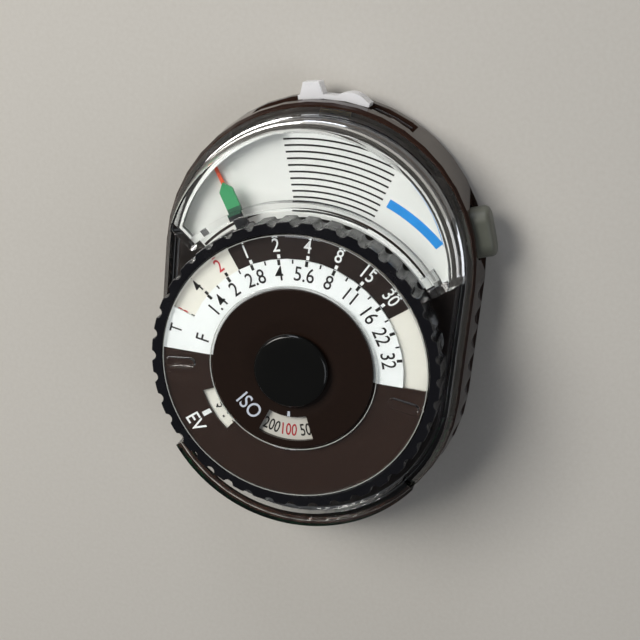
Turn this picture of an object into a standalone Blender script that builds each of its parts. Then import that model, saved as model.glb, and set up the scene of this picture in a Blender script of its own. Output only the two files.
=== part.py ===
"""Pocket light meter with a calculator dial, modelled lying on its flat back.

The dial's axis is Z. The origin is where that axis meets the back face, the window end is +Y
and the measuring button is on the +X side. Every size below is a real size of the object.
"""

import math

import bmesh
import bpy
from mathutils import Matrix

MM = 0.001
TURN = 2 * math.pi

# Clearances and finish
fit = 0.3 * MM
overrun = 1.0 * MM
weld_distance = 0.0005 * MM
join_step = 0.1 * MM
smooth_angle = math.radians(35)
arc_step = math.radians(9)
edge_round_share = 0.3

# Rear case
case_side_room = 10.8 * MM
bay_end_room = 2.1 * MM
lower_centre_drop = 4.2 * MM
lid_room = 1.15 * MM
case_wall = 1.5 * MM
case_floor = 1.3 * MM
case_back_round = 1.2 * MM
case_rim_round = 0.35 * MM
case_draft = 0.7 * MM
round_steps = 3

# Grip grooves on both flanks of the rear case
groove_count = 8
groove_pitch = 3.6 * MM
groove_first_y = 11.0 * MM
groove_radius = 3.0 * MM
groove_depth = 0.45 * MM
groove_low = 1.3 * MM
groove_edge_gap = 0.1 * MM
groove_step = math.radians(14)

# Clear cover with its raised window
cover_inset = 1.0 * MM
cover_end_step = 0.35 * MM
rim_height = 1.2 * MM
rim_width = 2.1 * MM
shoulder_width = 0.9 * MM
wall_step = 0.1 * MM
lip_height = 2.8 * MM
lip_start = 24 * arc_step
lip_end = 36 * arc_step
window_height = 7.1 * MM
window_sheet = 1.2 * MM
window_wall = 0.9 * MM
brow_height = 5.1 * MM
brow_inset = 1.8 * MM
window_top_inset = 2.4 * MM
window_right_low = math.radians(33)
window_right_high = math.radians(35.4)
window_left_low = math.radians(145.4)
window_left_high = math.radians(139)
window_steps = 14
window_far = 90 * MM
notch_gap = 1.15 * MM
notch_wall = 1.0 * MM
end_wall = 1.0 * MM

# Front frame
frame_stand = 0.4 * MM
frame_inset = 1.7 * MM
frame_plate = 1.1 * MM
frame_well_gap = 1.4 * MM
carrier_wall = 2.0 * MM
needle_gate_start = math.radians(45)
needle_gate_end = math.radians(134)
ledge_rise = 0.8 * MM
ledge_width = 1.2 * MM
ledge_start = math.radians(192)
ledge_end = math.radians(348)

# Scale plate and needle
scale_thickness = 0.4 * MM
scale_inner_gap = 0.3 * MM
scale_end_gap = math.radians(1.8)
scale_edge_inset = 2.55 * MM
needle_air = 0.4 * MM
needle_thickness = 0.2 * MM
needle_width = 0.5 * MM
needle_tip_gap = 0.4 * MM
needle_tail = 4.2 * MM
needle_tail_width = 1.6 * MM
needle_hub_radius = 1.3 * MM
needle_rest_angle = math.radians(121.3)

# Dial carrier, spindle and gear train
base_inset = 1.15 * MM
base_thickness = 0.7 * MM
spindle_radius = 1.4 * MM
spindle_bore_radius = 1.0 * MM
gear_thickness = 0.5 * MM
sun_teeth = 22
idler_teeth = 14
pointer_teeth = 60
addendum_share = 0.7
dedendum_share = 1.0
gear_tooth_shares = (0.50, 0.26)
first_idler_angle = math.radians(-100)
idler_pin_radius = 0.8 * MM
pointer_rim = 1.3 * MM
pointer_inset = 2.6 * MM
pointer_show = 5.2 * MM
pointer_width = 2.0 * MM
pointer_point = 1.1 * MM
pointer_rest_angle = math.radians(119.9)
guide_width = 0.4 * MM
guide_height = 0.7 * MM
base_screw_angles = (math.radians(180), math.radians(270), math.radians(0))
base_screw_head_radius = 0.75 * MM
base_screw_head = 0.4 * MM
base_screw_shank_radius = 0.3 * MM
base_screw_setback = 0.8 * MM
pointer_gate_start = math.radians(38)

# Dial ring
ring_inset = 2.65 * MM
ring_height = 4.9 * MM
ring_floor = 0.7 * MM
ring_tooth_count = 40
ring_tooth_depth = 0.65 * MM
ring_tooth_shares = (0.76, 0.50)
ring_chamfer = 0.35 * MM
ring_seat_width = 0.7 * MM
hub_wall = 1.5 * MM

# Dial discs
disc_stand = 0.3 * MM
disc_thickness = 0.4 * MM
sheet_gap = 0.15 * MM
disc_inset = 1.7 * MM
plate_thickness = 0.3 * MM
plate_edge_gap = 0.15 * MM
outer_print_width = 7.45 * MM
inner_disc_thickness = 0.5 * MM
time_window_width = 3.4 * MM
time_window_end = math.radians(161)
ev_window_gap = 0.5 * MM
ev_window_width = 1.9 * MM
ev_window_start = math.radians(203.5)
ev_window_end = math.radians(230.5)
iso_window_rim = 1.0 * MM
iso_window_width = 3.5 * MM
iso_window_start = math.radians(247.5)
iso_window_end = math.radians(292.5)
iso_scale_gap = 0.4 * MM
time_scale_gap = 0.4 * MM
cap_gap = 1.7 * MM
cap_height = 0.8 * MM
cap_edge_round = 0.35 * MM
cap_stem_radius = 0.7 * MM
cap_stem_length = 2.6 * MM
tab_length = 4.4 * MM
tab_width = 1.5 * MM
tab_height = 0.7 * MM
tab_inset = 2.75 * MM
tab_angles = (math.radians(185.9), math.radians(351.5))

# Measuring movement
yoke_radius = 6.6 * MM
yoke_wall = 1.2 * MM
yoke_seat_height = 1.0 * MM
yoke_bay_gap = 1.2 * MM
yoke_height = 3.6 * MM
yoke_lug_width = 1.4 * MM
yoke_lug_height = 1.0 * MM
core_radius = 3.3 * MM
core_rise = 0.6 * MM
core_height = 2.4 * MM
coil_band = 0.5 * MM
coil_width = 1.8 * MM
coil_centre_angle = math.radians(90)
staff_radius = 0.35 * MM
bearing_radius = 1.1 * MM
bearing_wall = 0.4 * MM
pivot_gap = 0.2 * MM
bearing_height = 0.5 * MM
bridge_thickness = 0.6 * MM
bridge_width = 3.0 * MM
bridge_hole_radius = 0.65 * MM
bridge_foot_radius = 0.9 * MM
bridge_screw_inset = 0.7 * MM
bridge_screw_head_radius = 0.8 * MM
bridge_screw_head = 0.35 * MM
bridge_screw_shank_radius = 0.3 * MM
hairspring_room = 0.8 * MM
hairspring_inner = 0.75 * MM
hairspring_outer = 3.0 * MM
hairspring_turns = 3
hairspring_width = 0.14 * MM
hairspring_height = 0.25 * MM
hairspring_steps = 16

# Battery bay
battery_radius = 10.0 * MM
battery_height = 3.2 * MM
battery_rim = 1.1 * MM
battery_step = 0.4 * MM
bay_slack = 1.2 * MM
bay_wall = 1.2 * MM
bay_lip = 0.2 * MM
cover_recess = 0.2 * MM
battery_cover_thickness = 1.3 * MM
lug_reach = 0.65 * MM
lug_thickness = 0.6 * MM
lug_count = 3
lug_span = math.radians(22)
lug_travel = math.radians(60)
groove_slack = 0.25 * MM
coin_slot_length = 10.0 * MM
coin_slot_width = 1.5 * MM
coin_slot_depth = 0.7 * MM
contact_thickness = 0.25 * MM
contact_width = 4.0 * MM
side_contact_span = math.radians(50)
side_contact_angle = math.radians(-130)
side_contact_height = 2.8 * MM

# Screws that hold the rear case to the front frame
screw_upper_inset = 2.38 * MM
screw_lower_inset = 3.6 * MM
screw_upper_angle = math.radians(39.5)
screw_lower_angle = math.radians(-36.7)
screw_head_radius = 1.6 * MM
screw_head_height = 0.9 * MM
screw_head_recess = 0.25 * MM
screw_shank_radius = 0.6 * MM
screw_length = 5.4 * MM
screw_slot_width = 0.5 * MM
screw_slot_depth = 0.4 * MM
boss_wall = 0.95 * MM
post_radius = 2.8 * MM
post_top = 2.8 * MM

# Circuit board
board_top_y = 8.2 * MM
board_thickness = 0.8 * MM
board_edge_gap = 0.8 * MM
chip_length = 5.0 * MM
chip_width = 4.0 * MM
chip_height = 1.2 * MM
chip_x = 4.5 * MM
chip_y = 15.0 * MM
trimmer_radius = 1.7 * MM
trimmer_height = 1.3 * MM
trimmer_x = 5.5 * MM
trimmer_y = 16.5 * MM
trimmer_slot_width = 0.5 * MM
trimmer_slot_depth = 0.4 * MM

# Measuring button
button_angle = math.radians(17.8)
button_length = 7.2 * MM
button_height = 4.4 * MM
button_centre_z = 4.0 * MM
button_proud = 1.7 * MM
button_edge_round = 0.7 * MM
button_flange = 0.8 * MM
button_flange_rise = 0.25 * MM
button_flange_thickness = 0.9 * MM
button_flange_setback = 2.3 * MM
pocket_length = 12.6 * MM
pocket_height = 5.2 * MM
pocket_depth = 0.9 * MM
spring_radius = 1.5 * MM
spring_wire = 0.15 * MM
spring_turns = 3
spring_length = 2.6 * MM
spring_points = 10
switch_post_thickness = 1.2 * MM
switch_post_width = 4.8 * MM
switch_post_top = 6.4 * MM
switch_plate_width = 4.2 * MM
switch_plate_height = 4.4 * MM

# Light cell and sliding diffuser at the window end
slot_start = math.radians(60.5)
slot_end = math.radians(121)
slot_low = 2.4 * MM
slot_height = 3.4 * MM
lens_start = math.radians(61.8)
lens_end = math.radians(77)
lens_thickness = 0.7 * MM
cell_thickness = 0.9 * MM
cell_height = 4.4 * MM
cell_low = 1.6 * MM
cell_setback = 0.5 * MM
slide_start = math.radians(78.2)
slide_end = math.radians(103.4)
slide_thickness = 0.6 * MM
slide_proud = 0.1 * MM
dome_start = math.radians(78.8)
dome_end = math.radians(90.0)
dome_proud = 0.75 * MM
dome_steps = 8
tab_start = math.radians(94.6)
tab_end = math.radians(102.6)
slide_tab_proud = 1.7 * MM
tab_corner_share = 0.35
foot_start = math.radians(95.2)
foot_end = math.radians(102.0)
foot_thickness = 0.7 * MM
foot_overlap = 0.8 * MM
foot_setback = 0.4 * MM

# Levels along the dial's axis
battery_cover_top = cover_recess + battery_cover_thickness
battery_low = battery_cover_top + fit
battery_top = battery_low + battery_height
bay_wall_top = battery_top + bay_lip
frame_low = bay_wall_top + fit + contact_thickness + lid_room
frame_top = frame_low + frame_plate
case_depth = frame_top - frame_stand
scale_low = frame_top + fit
scale_top = scale_low + scale_thickness
needle_low = scale_top + needle_air
needle_top = needle_low + needle_thickness
base_low = needle_top + needle_air
base_top = base_low + base_thickness
gear_low = base_top + fit
gear_top = gear_low + gear_thickness
ring_low = gear_top + fit
ring_top = ring_low + ring_height
disc_top = ring_top + disc_stand
disc_low = disc_top - disc_thickness
plate_top = disc_low - sheet_gap
plate_low = plate_top - plate_thickness
time_top = plate_low - sheet_gap
time_low = time_top - plate_thickness
seat_top = time_low - sheet_gap
inner_disc_low = plate_top + sheet_gap
inner_disc_top = inner_disc_low + inner_disc_thickness
cap_low = inner_disc_top + sheet_gap
cap_top = cap_low + cap_height
spindle_top = inner_disc_low - sheet_gap
cover_low = case_depth + fit
cover_rim_top = cover_low + rim_height
cover_lip_top = cover_low + lip_height
window_top = cover_low + window_height
brow_rise = window_height - brow_height
yoke_low = case_floor + yoke_seat_height + fit
yoke_top = yoke_low + yoke_height
core_low = yoke_low + core_rise
core_top = core_low + core_height
coil_low = core_low - fit - coil_band
coil_top = core_top + fit + coil_band
bridge_low = coil_top + hairspring_room
bridge_top = bridge_low + bridge_thickness
board_low = post_top + fit
board_top = board_low + board_thickness

# Radii, widths and centres that follow from the sizes above
frame_well_radius = yoke_radius + frame_well_gap
bridge_centre_radius = yoke_radius - bridge_screw_inset
bay_radius = battery_radius + bay_slack
bay_outer = bay_radius + bay_wall
battery_step_radius = battery_radius - battery_rim
bay_centre_y = yoke_radius + yoke_bay_gap + bay_outer
case_half_width = bay_outer + case_side_room
cover_half_width = case_half_width - cover_inset
rim_inner = cover_half_width - rim_width
cavity_half_width = case_half_width - case_wall
case_upper_centre = bay_centre_y + bay_outer + bay_end_room - cavity_half_width
cover_upper_centre = case_upper_centre - cover_end_step
frame_half_width = cover_half_width - frame_inset
ring_radius = case_half_width - ring_inset
notch_radius = ring_radius + notch_gap
base_radius = ring_radius - base_inset
carrier_inner = base_radius - carrier_wall
hub_inner = spindle_radius + fit
hub_outer = hub_inner + hub_wall
screw_hole_radius = screw_shank_radius + fit
boss_radius = screw_hole_radius + boss_wall
counterbore_radius = screw_head_radius + fit
counterbore_top = screw_head_recess + screw_head_height + fit
pointer_outer = base_radius - pointer_inset
gear_module = (pointer_outer - pointer_rim) / (pointer_teeth / 2 + dedendum_share)
sun_pitch = gear_module * sun_teeth / 2
idler_pitch = gear_module * idler_teeth / 2
pointer_pitch = gear_module * pointer_teeth / 2
first_idler_distance = sun_pitch + idler_pitch
second_idler_distance = pointer_pitch - idler_pitch
pointer_reach = notch_radius + pointer_show
guide_inner = pointer_outer + fit
screw_circle = base_radius - base_screw_setback
disc_radius = ring_radius - disc_inset
inner_disc_radius = disc_radius - outer_print_width
f_ring_outer = disc_radius - time_window_width
ev_window_inner = inner_disc_radius + ev_window_gap
ev_window_outer = ev_window_inner + ev_window_width
iso_scale_radius = inner_disc_radius - iso_scale_gap
iso_window_outer = inner_disc_radius - iso_window_rim
iso_window_inner = iso_window_outer - iso_window_width
time_scale_inner = hub_outer + time_scale_gap
cap_radius = iso_window_inner - cap_gap
tab_centre_radius = disc_radius - tab_inset
button_pocket_plane = case_half_width - pocket_depth


def clear_scene():
    """Empty the scene without closing the file that runs this script."""
    for item in list(bpy.data.objects):
        bpy.data.objects.remove(item, do_unlink=True)


def finish_of(name, colour, roughness, metallic=0.0, alpha=1.0):
    """One Principled material for one piece."""
    material = bpy.data.materials.new(name + "_finish")
    material.use_nodes = True
    shader = material.node_tree.nodes["Principled BSDF"]
    shader.inputs["Base Color"].default_value = (*colour, 1.0)
    shader.inputs["Roughness"].default_value = roughness
    shader.inputs["Metallic"].default_value = metallic
    shader.inputs["Alpha"].default_value = alpha
    return material


def arc(radius, start, end, centre=(0, 0), step=arc_step):
    """Points along an arc, both ends included, at about the same step everywhere."""
    steps = max(2, math.ceil(abs(end - start) / step))
    points = []
    for index in range(steps + 1):
        angle = start + (end - start) * index / steps
        x = centre[0] + radius * math.cos(angle)
        y = centre[1] + radius * math.sin(angle)
        points.append((x, y))
    return points


def circle(radius, centre=(0, 0), sides=40):
    """Points round a full circle."""
    points = []
    for index in range(sides):
        angle = TURN * index / sides
        points.append((centre[0] + radius * math.cos(angle), centre[1] + radius * math.sin(angle)))
    return points


def stadium(half_width, lower_y, upper_y):
    """Two half circles joined by straight flanks, lower end first."""
    lower = arc(half_width, math.pi, TURN, (0, lower_y))
    upper = arc(half_width, 0, math.pi, (0, upper_y))
    return lower + upper


def ring_sector(inner, outer, start, end, centre=(0, 0)):
    """A piece of a flat ring."""
    return arc(outer, start, end, centre) + arc(inner, end, start, centre)


def pill(length, width):
    """A slot shape, long along X, centred on zero."""
    reach = (length - width) / 2
    right = arc(width / 2, -math.pi / 2, math.pi / 2, (reach, 0))
    left = arc(width / 2, math.pi / 2, 3 * math.pi / 2, (-reach, 0))
    return right + left


def box_outline(low_x, high_x, low_y, high_y):
    """A rectangle."""
    return [(low_x, low_y), (high_x, low_y), (high_x, high_y), (low_x, high_y)]


def toothed_outline(teeth, phase, tip_radius, root_radius, shares):
    """Straight flanked teeth round a circle; a tooth is centred on the phase angle.

    The shares are the parts of the pitch that a tooth takes at its root and at its tip.
    """
    points = []
    pitch = TURN / teeth
    root_half = pitch * shares[0] / 2
    tip_half = pitch * shares[1] / 2
    for index in range(teeth):
        middle = phase + pitch * index
        corners = ((-root_half, root_radius), (-tip_half, tip_radius),
                   (tip_half, tip_radius), (root_half, root_radius))
        for offset, radius in corners:
            angle = middle + offset
            points.append((radius * math.cos(angle), radius * math.sin(angle)))
    return points


def reach_inside(angle, half_width, upper_y):
    """Distance from the dial axis, along an angle, to the upper half circle of a stadium."""
    along = upper_y * math.sin(angle)
    return along + math.sqrt(along * along - upper_y * upper_y + half_width * half_width)


def fan_outline(radius, right_angle, left_angle):
    """Everything outside a circle about the dial axis, between two rays that close far away."""
    points = []
    for index in range(window_steps + 1):
        angle = left_angle + (right_angle - left_angle) * index / window_steps
        points.append((radius * math.cos(angle), radius * math.sin(angle)))
    for angle in (right_angle, left_angle):
        points.append((window_far * math.cos(angle), window_far * math.sin(angle)))
    return points


def add_layers(mesh, layers):
    """Join a stack of outlines, each with its level, into one closed body."""
    rings = []
    for outline, level in layers:
        rings.append([mesh.verts.new((x, y, level)) for x, y in outline])
    mesh.faces.new(list(reversed(rings[0])))
    mesh.faces.new(rings[-1])
    for lower, upper in zip(rings, rings[1:]):
        count = len(lower)
        for index in range(count):
            following = (index + 1) % count
            mesh.faces.new((lower[index], lower[following], upper[following], upper[index]))


def add_turned(mesh, profile, centre=(0, 0), sides=40):
    """Spin a profile of radius and level pairs about a vertical axis."""
    corners = [mesh.verts.new((radius, 0, level)) for radius, level in profile]
    edges = []
    for corner, following in zip(corners, corners[1:] + corners[:1]):
        if corner.co.x > 0 or following.co.x > 0:
            edges.append(mesh.edges.new((corner, following)))
    bmesh.ops.spin(mesh, geom=corners + edges, cent=(0, 0, 0), axis=(0, 0, 1), angle=TURN,
                   steps=sides, use_merge=True)
    bmesh.ops.remove_doubles(mesh, verts=mesh.verts, dist=weld_distance)
    bmesh.ops.translate(mesh, verts=mesh.verts, vec=(centre[0], centre[1], 0))


def cylinder_profile(radius, low, high):
    """Half section of a solid cylinder."""
    return [(0, low), (radius, low), (radius, high), (0, high)]


def tube_profile(inner, outer, low, high):
    """Half section of a tube or washer."""
    return [(inner, low), (outer, low), (outer, high), (inner, high)]


def store(mesh, name, material=None):
    """Turn a bmesh into a named object with smooth shading between its sharp edges."""
    bmesh.ops.remove_doubles(mesh, verts=mesh.verts, dist=weld_distance)
    bmesh.ops.recalc_face_normals(mesh, faces=mesh.faces)
    data = bpy.data.meshes.new(name)
    mesh.to_mesh(data)
    mesh.free()
    data.shade_smooth()
    data.set_sharp_from_angle(angle=smooth_angle)
    item = bpy.data.objects.new(name, data)
    bpy.context.scene.collection.objects.link(item)
    if material is not None:
        data.materials.append(material)
    return item


def prisms(name, pieces, material=None):
    """One object from several outlines with their levels."""
    mesh = bmesh.new()
    for outline, low, high in pieces:
        add_layers(mesh, [(outline, low), (outline, high)])
    return store(mesh, name, material)


def stacked(name, layers, material=None):
    """One object from outlines that change from level to level."""
    mesh = bmesh.new()
    add_layers(mesh, layers)
    bmesh.ops.triangulate(mesh, faces=mesh.faces)
    return store(mesh, name, material)


def turned(name, profile, material=None, centre=(0, 0), sides=40):
    """One turned object."""
    mesh = bmesh.new()
    add_turned(mesh, profile, centre, sides)
    return store(mesh, name, material)


def as_tool(item):
    """Keep a cutting or joining body out of the finished model."""
    item.hide_render = True
    item.display_type = "WIRE"
    return item


def combine(target, tool, operation):
    """Cut a tool from a piece, or join it to the piece."""
    as_tool(tool)
    change = target.modifiers.new(tool.name, "BOOLEAN")
    change.operation = operation
    change.object = tool
    change.solver = "EXACT"


def turn_about(points, angle, centre=(0, 0)):
    """Turn flat points about the origin, then move them to a centre."""
    cosine = math.cos(angle)
    sine = math.sin(angle)
    return [(centre[0] + x * cosine - y * sine, centre[1] + x * sine + y * cosine) for x, y in points]


def put_origin(item, x, y, z):
    """Move an object's origin to a joint axis and leave its shape where it is."""
    item.data.transform(Matrix.Translation((-x, -y, -z)))
    item.location = (x, y, z)


def screw_places():
    """The four case screws: two beside the battery bay, two at the lower end."""
    upper = cavity_half_width - screw_upper_inset
    lower = cavity_half_width - screw_lower_inset
    upper_x = upper * math.cos(screw_upper_angle)
    upper_y = upper * math.sin(screw_upper_angle) + case_upper_centre
    lower_x = lower * math.cos(screw_lower_angle)
    lower_y = lower * math.sin(screw_lower_angle) - lower_centre_drop
    return ((-upper_x, upper_y), (upper_x, upper_y), (-lower_x, lower_y), (lower_x, lower_y))


def slotted_screw(name, place, head_low, head_radius, head_height, shank_radius, tip, colour):
    """A cheese head screw; the tip may lie above or below the head."""
    head_high = head_low + head_height
    if tip > head_low:
        profile = [(0, head_low), (head_radius, head_low), (head_radius, head_high),
                   (shank_radius, head_high), (shank_radius, tip), (0, tip)]
    else:
        profile = [(0, tip), (shank_radius, tip), (shank_radius, head_low),
                   (head_radius, head_low), (head_radius, head_high), (0, head_high)]
    return turned(name, profile, finish_of(name, colour, 0.3, 1.0), place, 16)


def flank_point(distance):
    """Place and outward angle on the right flank, measured down from the first groove."""
    y = groove_first_y - distance
    if y >= -lower_centre_drop:
        return (case_half_width, y, 0.0)
    angle = (y + lower_centre_drop) / case_half_width
    x = case_half_width * math.cos(angle)
    return (x, case_half_width * math.sin(angle) - lower_centre_drop, angle)


def groove_tools():
    """Round cutters that leave grip ribs on both flanks."""
    pieces = []
    reach = groove_radius - groove_depth
    half = math.acos((reach - groove_edge_gap) / groove_radius)
    for index in range(groove_count):
        x, y, angle = flank_point(groove_pitch * index)
        centre_x = x + reach * math.cos(angle)
        centre_y = y + reach * math.sin(angle)
        right = arc(groove_radius, angle + math.pi - half, angle + math.pi + half,
                    (centre_x, centre_y), groove_step)
        left = [(-x, y) for x, y in reversed(right)]
        for outline in (right, left):
            pieces.append((outline, groove_low, case_depth + overrun))
    return prisms("grip_groove_cut", pieces)


def rounded_shell_layers():
    """Outlines of the rear case from its rounded back edge to its narrower front rim."""
    layers = []
    for index in range(round_steps + 1):
        angle = math.pi / 2 * index / round_steps
        inset = case_back_round * (1 - math.sin(angle))
        level = case_back_round * (1 - math.cos(angle))
        outline = stadium(case_half_width - inset, -lower_centre_drop, case_upper_centre)
        layers.append((outline, level))
    front = case_half_width - case_draft
    layers.append((stadium(front, -lower_centre_drop, case_upper_centre), case_depth - case_rim_round))
    outline = stadium(front - case_rim_round, -lower_centre_drop, case_upper_centre)
    layers.append((outline, case_depth))
    return layers


def local_box(name, low_x, high_x, width, low_z, high_z, material=None):
    """A box in the button's own directions: X runs outwards through the button."""
    outline = box_outline(low_x, high_x, -width / 2, width / 2)
    turned_outline = turn_about(outline, button_angle, (0, case_upper_centre))
    return prisms(name, [(turned_outline, low_z, high_z)], material)


def side_pill_layers(mesh, steps):
    """Pills that face along the button's direction: each step is distance, length and height."""
    rings = []
    for distance, length, height in steps:
        ring = []
        for along, up in pill(length, height):
            flat = turn_about([(distance, along)], button_angle, (0, case_upper_centre))[0]
            ring.append(mesh.verts.new((flat[0], flat[1], button_centre_z + up)))
        rings.append(ring)
    mesh.faces.new(list(reversed(rings[0])))
    mesh.faces.new(rings[-1])
    for lower, upper in zip(rings, rings[1:]):
        count = len(lower)
        for index in range(count):
            following = (index + 1) % count
            mesh.faces.new((lower[index], lower[following], upper[following], upper[index]))


def side_pill(name, steps, material=None):
    """One object from pills stacked along the button's direction."""
    mesh = bmesh.new()
    side_pill_layers(mesh, steps)
    return store(mesh, name, material)


def make_rear_case():
    """The dark back moulding with its grip ribs, battery bay and screw posts."""
    mesh = bmesh.new()
    add_layers(mesh, rounded_shell_layers())
    case = store(mesh, "rear_case", finish_of("rear_case", (0.045, 0.024, 0.016), 0.3))
    cavity = stadium(cavity_half_width, -lower_centre_drop, case_upper_centre)
    combine(case, prisms("case_cavity_cut", [(cavity, case_floor, case_depth + overrun)]), "DIFFERENCE")
    post_low = case_floor / 2
    posts = [(circle(post_radius, place, 20), post_low, post_top) for place in screw_places()]
    combine(case, prisms("screw_post_join", posts), "UNION")
    bay_centre = (0, bay_centre_y)
    bay = [(circle(bay_outer, bay_centre), post_low, bay_wall_top)]
    combine(case, prisms("bay_wall_join", bay), "UNION")
    seat = tube_profile(yoke_radius - yoke_wall, yoke_radius, post_low, yoke_low - fit)
    combine(case, turned("movement_seat_join", seat), "UNION")
    post_start = switch_plate_near() - fit - switch_post_thickness
    post_end = post_start + switch_post_thickness
    post = local_box("switch_post_join", post_start, post_end, switch_post_width, post_low, switch_post_top)
    combine(case, post, "UNION")
    combine(case, turned("bay_cut", bay_cut_profile(), centre=bay_centre), "DIFFERENCE")
    notches = []
    for index in range(lug_count):
        middle = lug_travel + TURN * index / lug_count
        half = lug_span / 2 + fit / bay_radius
        outline = ring_sector(bay_radius - overrun, bay_radius + lug_reach, middle - half, middle + half,
                              bay_centre)
        notches.append((outline, -overrun, lug_low()))
    combine(case, prisms("lug_notch_cut", notches), "DIFFERENCE")
    holes = []
    for place in screw_places():
        holes.append((circle(counterbore_radius, place, 20), -overrun, counterbore_top))
    combine(case, prisms("screw_head_cut", holes), "DIFFERENCE")
    holes = []
    for place in screw_places():
        holes.append((circle(screw_hole_radius, place, 12), counterbore_top - fit, post_top + overrun))
    combine(case, prisms("screw_hole_cut", holes), "DIFFERENCE")
    slot = ring_sector(cavity_half_width - overrun, case_half_width + overrun, slot_start, slot_end,
                       (0, case_upper_centre))
    combine(case, prisms("diffuser_slot_cut", [(slot, slot_low, slot_low + slot_height)]), "DIFFERENCE")
    pocket_low = button_centre_z - pocket_height / 2
    pocket = local_box("button_pocket_cut", button_pocket_plane, case_half_width + overrun,
                       pocket_length, pocket_low, pocket_low + pocket_height)
    combine(case, pocket, "DIFFERENCE")
    hole_length = button_length + 2 * fit
    hole_height = button_height + 2 * fit
    hole = [(cavity_half_width - overrun, hole_length, hole_height),
            (case_half_width + overrun, hole_length, hole_height)]
    combine(case, side_pill("button_hole_cut", hole), "DIFFERENCE")
    combine(case, groove_tools(), "DIFFERENCE")
    return case


def lug_low():
    """Level of the underside of the battery cover's lugs."""
    return battery_cover_top - lug_thickness


def bay_cut_profile():
    """Half section of the battery bay with the groove that the cover's lugs turn in."""
    groove_outer = bay_radius + lug_reach + groove_slack
    groove_bottom = lug_low() - groove_slack
    groove_top = battery_cover_top + groove_slack
    return [(0, -overrun), (bay_radius, -overrun), (bay_radius, groove_bottom),
            (groove_outer, groove_bottom), (groove_outer, groove_top), (bay_radius, groove_top),
            (bay_radius, bay_wall_top + overrun), (0, bay_wall_top + overrun)]


def make_battery_parts():
    """Coin cell, its two contacts and the coin slotted cover."""
    centre = (0, bay_centre_y)
    steel = (0.62, 0.62, 0.6)
    step_level = battery_low + battery_step
    profile = [(0, battery_low), (battery_step_radius, battery_low), (battery_step_radius, step_level),
               (battery_radius, step_level), (battery_radius, battery_top), (0, battery_top)]
    turned("battery", profile, finish_of("battery", steel, 0.28, 1.0), centre)
    mesh = bmesh.new()
    profile = cylinder_profile(bay_radius - fit, cover_recess, battery_cover_top)
    add_turned(mesh, profile, centre)
    cover = store(mesh, "battery_cover", finish_of("battery_cover", (0.04, 0.022, 0.015), 0.35))
    lugs = []
    for index in range(lug_count):
        middle = TURN * index / lug_count
        outline = ring_sector(bay_radius - overrun, bay_radius + lug_reach - fit,
                              middle - lug_span / 2, middle + lug_span / 2, centre)
        lugs.append((outline, lug_low(), battery_cover_top - join_step))
    combine(cover, prisms("cover_lug_join", lugs), "UNION")
    slot = pill(coin_slot_length, coin_slot_width)
    slot = [(x, y + bay_centre_y) for x, y in slot]
    combine(cover, prisms("coin_slot_cut", [(slot, 0, cover_recess + coin_slot_depth)]), "DIFFERENCE")
    brass = (0.7, 0.5, 0.22)
    leaf_low = bay_wall_top + fit
    half = contact_width / 2
    reach = bay_radius + bay_wall
    leaf = box_outline(-half, half, bay_centre_y - reach, bay_centre_y + reach)
    leaf_piece = [(leaf, leaf_low, leaf_low + contact_thickness)]
    prisms("battery_contact_top", leaf_piece, finish_of("battery_contact_top", brass, 0.3, 1.0))
    inner = battery_radius + fit
    start = side_contact_angle - side_contact_span / 2
    strip = ring_sector(inner, inner + contact_thickness, start, start + side_contact_span, centre)
    strip_piece = [(strip, battery_low + fit, battery_low + fit + side_contact_height)]
    prisms("battery_contact_side", strip_piece, finish_of("battery_contact_side", brass, 0.3, 1.0))
    return cover


def make_front_frame():
    """The dark inner frame that carries the scale plate, the dial and the clear cover."""
    plate = stadium(frame_half_width, -lower_centre_drop, cover_upper_centre)
    frame = prisms("front_frame", [(plate, frame_low, frame_top)],
                   finish_of("front_frame", (0.03, 0.02, 0.016), 0.35))
    join_low = (frame_low + frame_top) / 2
    wall = ring_sector(carrier_inner, base_radius, needle_gate_end, needle_gate_start + TURN)
    combine(frame, prisms("carrier_wall_join", [(wall, join_low, base_low - fit)]), "UNION")
    ledge_outer = rim_inner - fit
    ledge = ring_sector(ledge_outer - ledge_width, ledge_outer, ledge_start, ledge_end,
                        (0, -lower_centre_drop))
    combine(frame, prisms("frame_ledge_join", [(ledge, join_low, frame_top + ledge_rise)]), "UNION")
    bosses = [(circle(boss_radius, place, 16), post_top + fit, join_low) for place in screw_places()]
    combine(frame, prisms("frame_boss_join", bosses), "UNION")
    tip = screw_head_recess + screw_length + fit
    bores = [(circle(screw_hole_radius, place, 12), post_top - overrun, tip) for place in screw_places()]
    combine(frame, prisms("frame_bore_cut", bores), "DIFFERENCE")
    well = [(circle(frame_well_radius), frame_low - overrun, frame_top + overrun)]
    combine(frame, prisms("movement_well_cut", well), "DIFFERENCE")
    pilots = []
    for angle in base_screw_angles:
        place = (screw_circle * math.cos(angle), screw_circle * math.sin(angle))
        pilots.append((circle(base_screw_shank_radius + fit, place, 16), frame_top + fit, base_low + overrun))
    combine(frame, prisms("base_pilot_cut", pilots), "DIFFERENCE")
    return frame


def cover_outline(inset):
    """The cover's outline, drawn in by an inset."""
    return stadium(cover_half_width - inset, -lower_centre_drop, cover_upper_centre)


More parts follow.
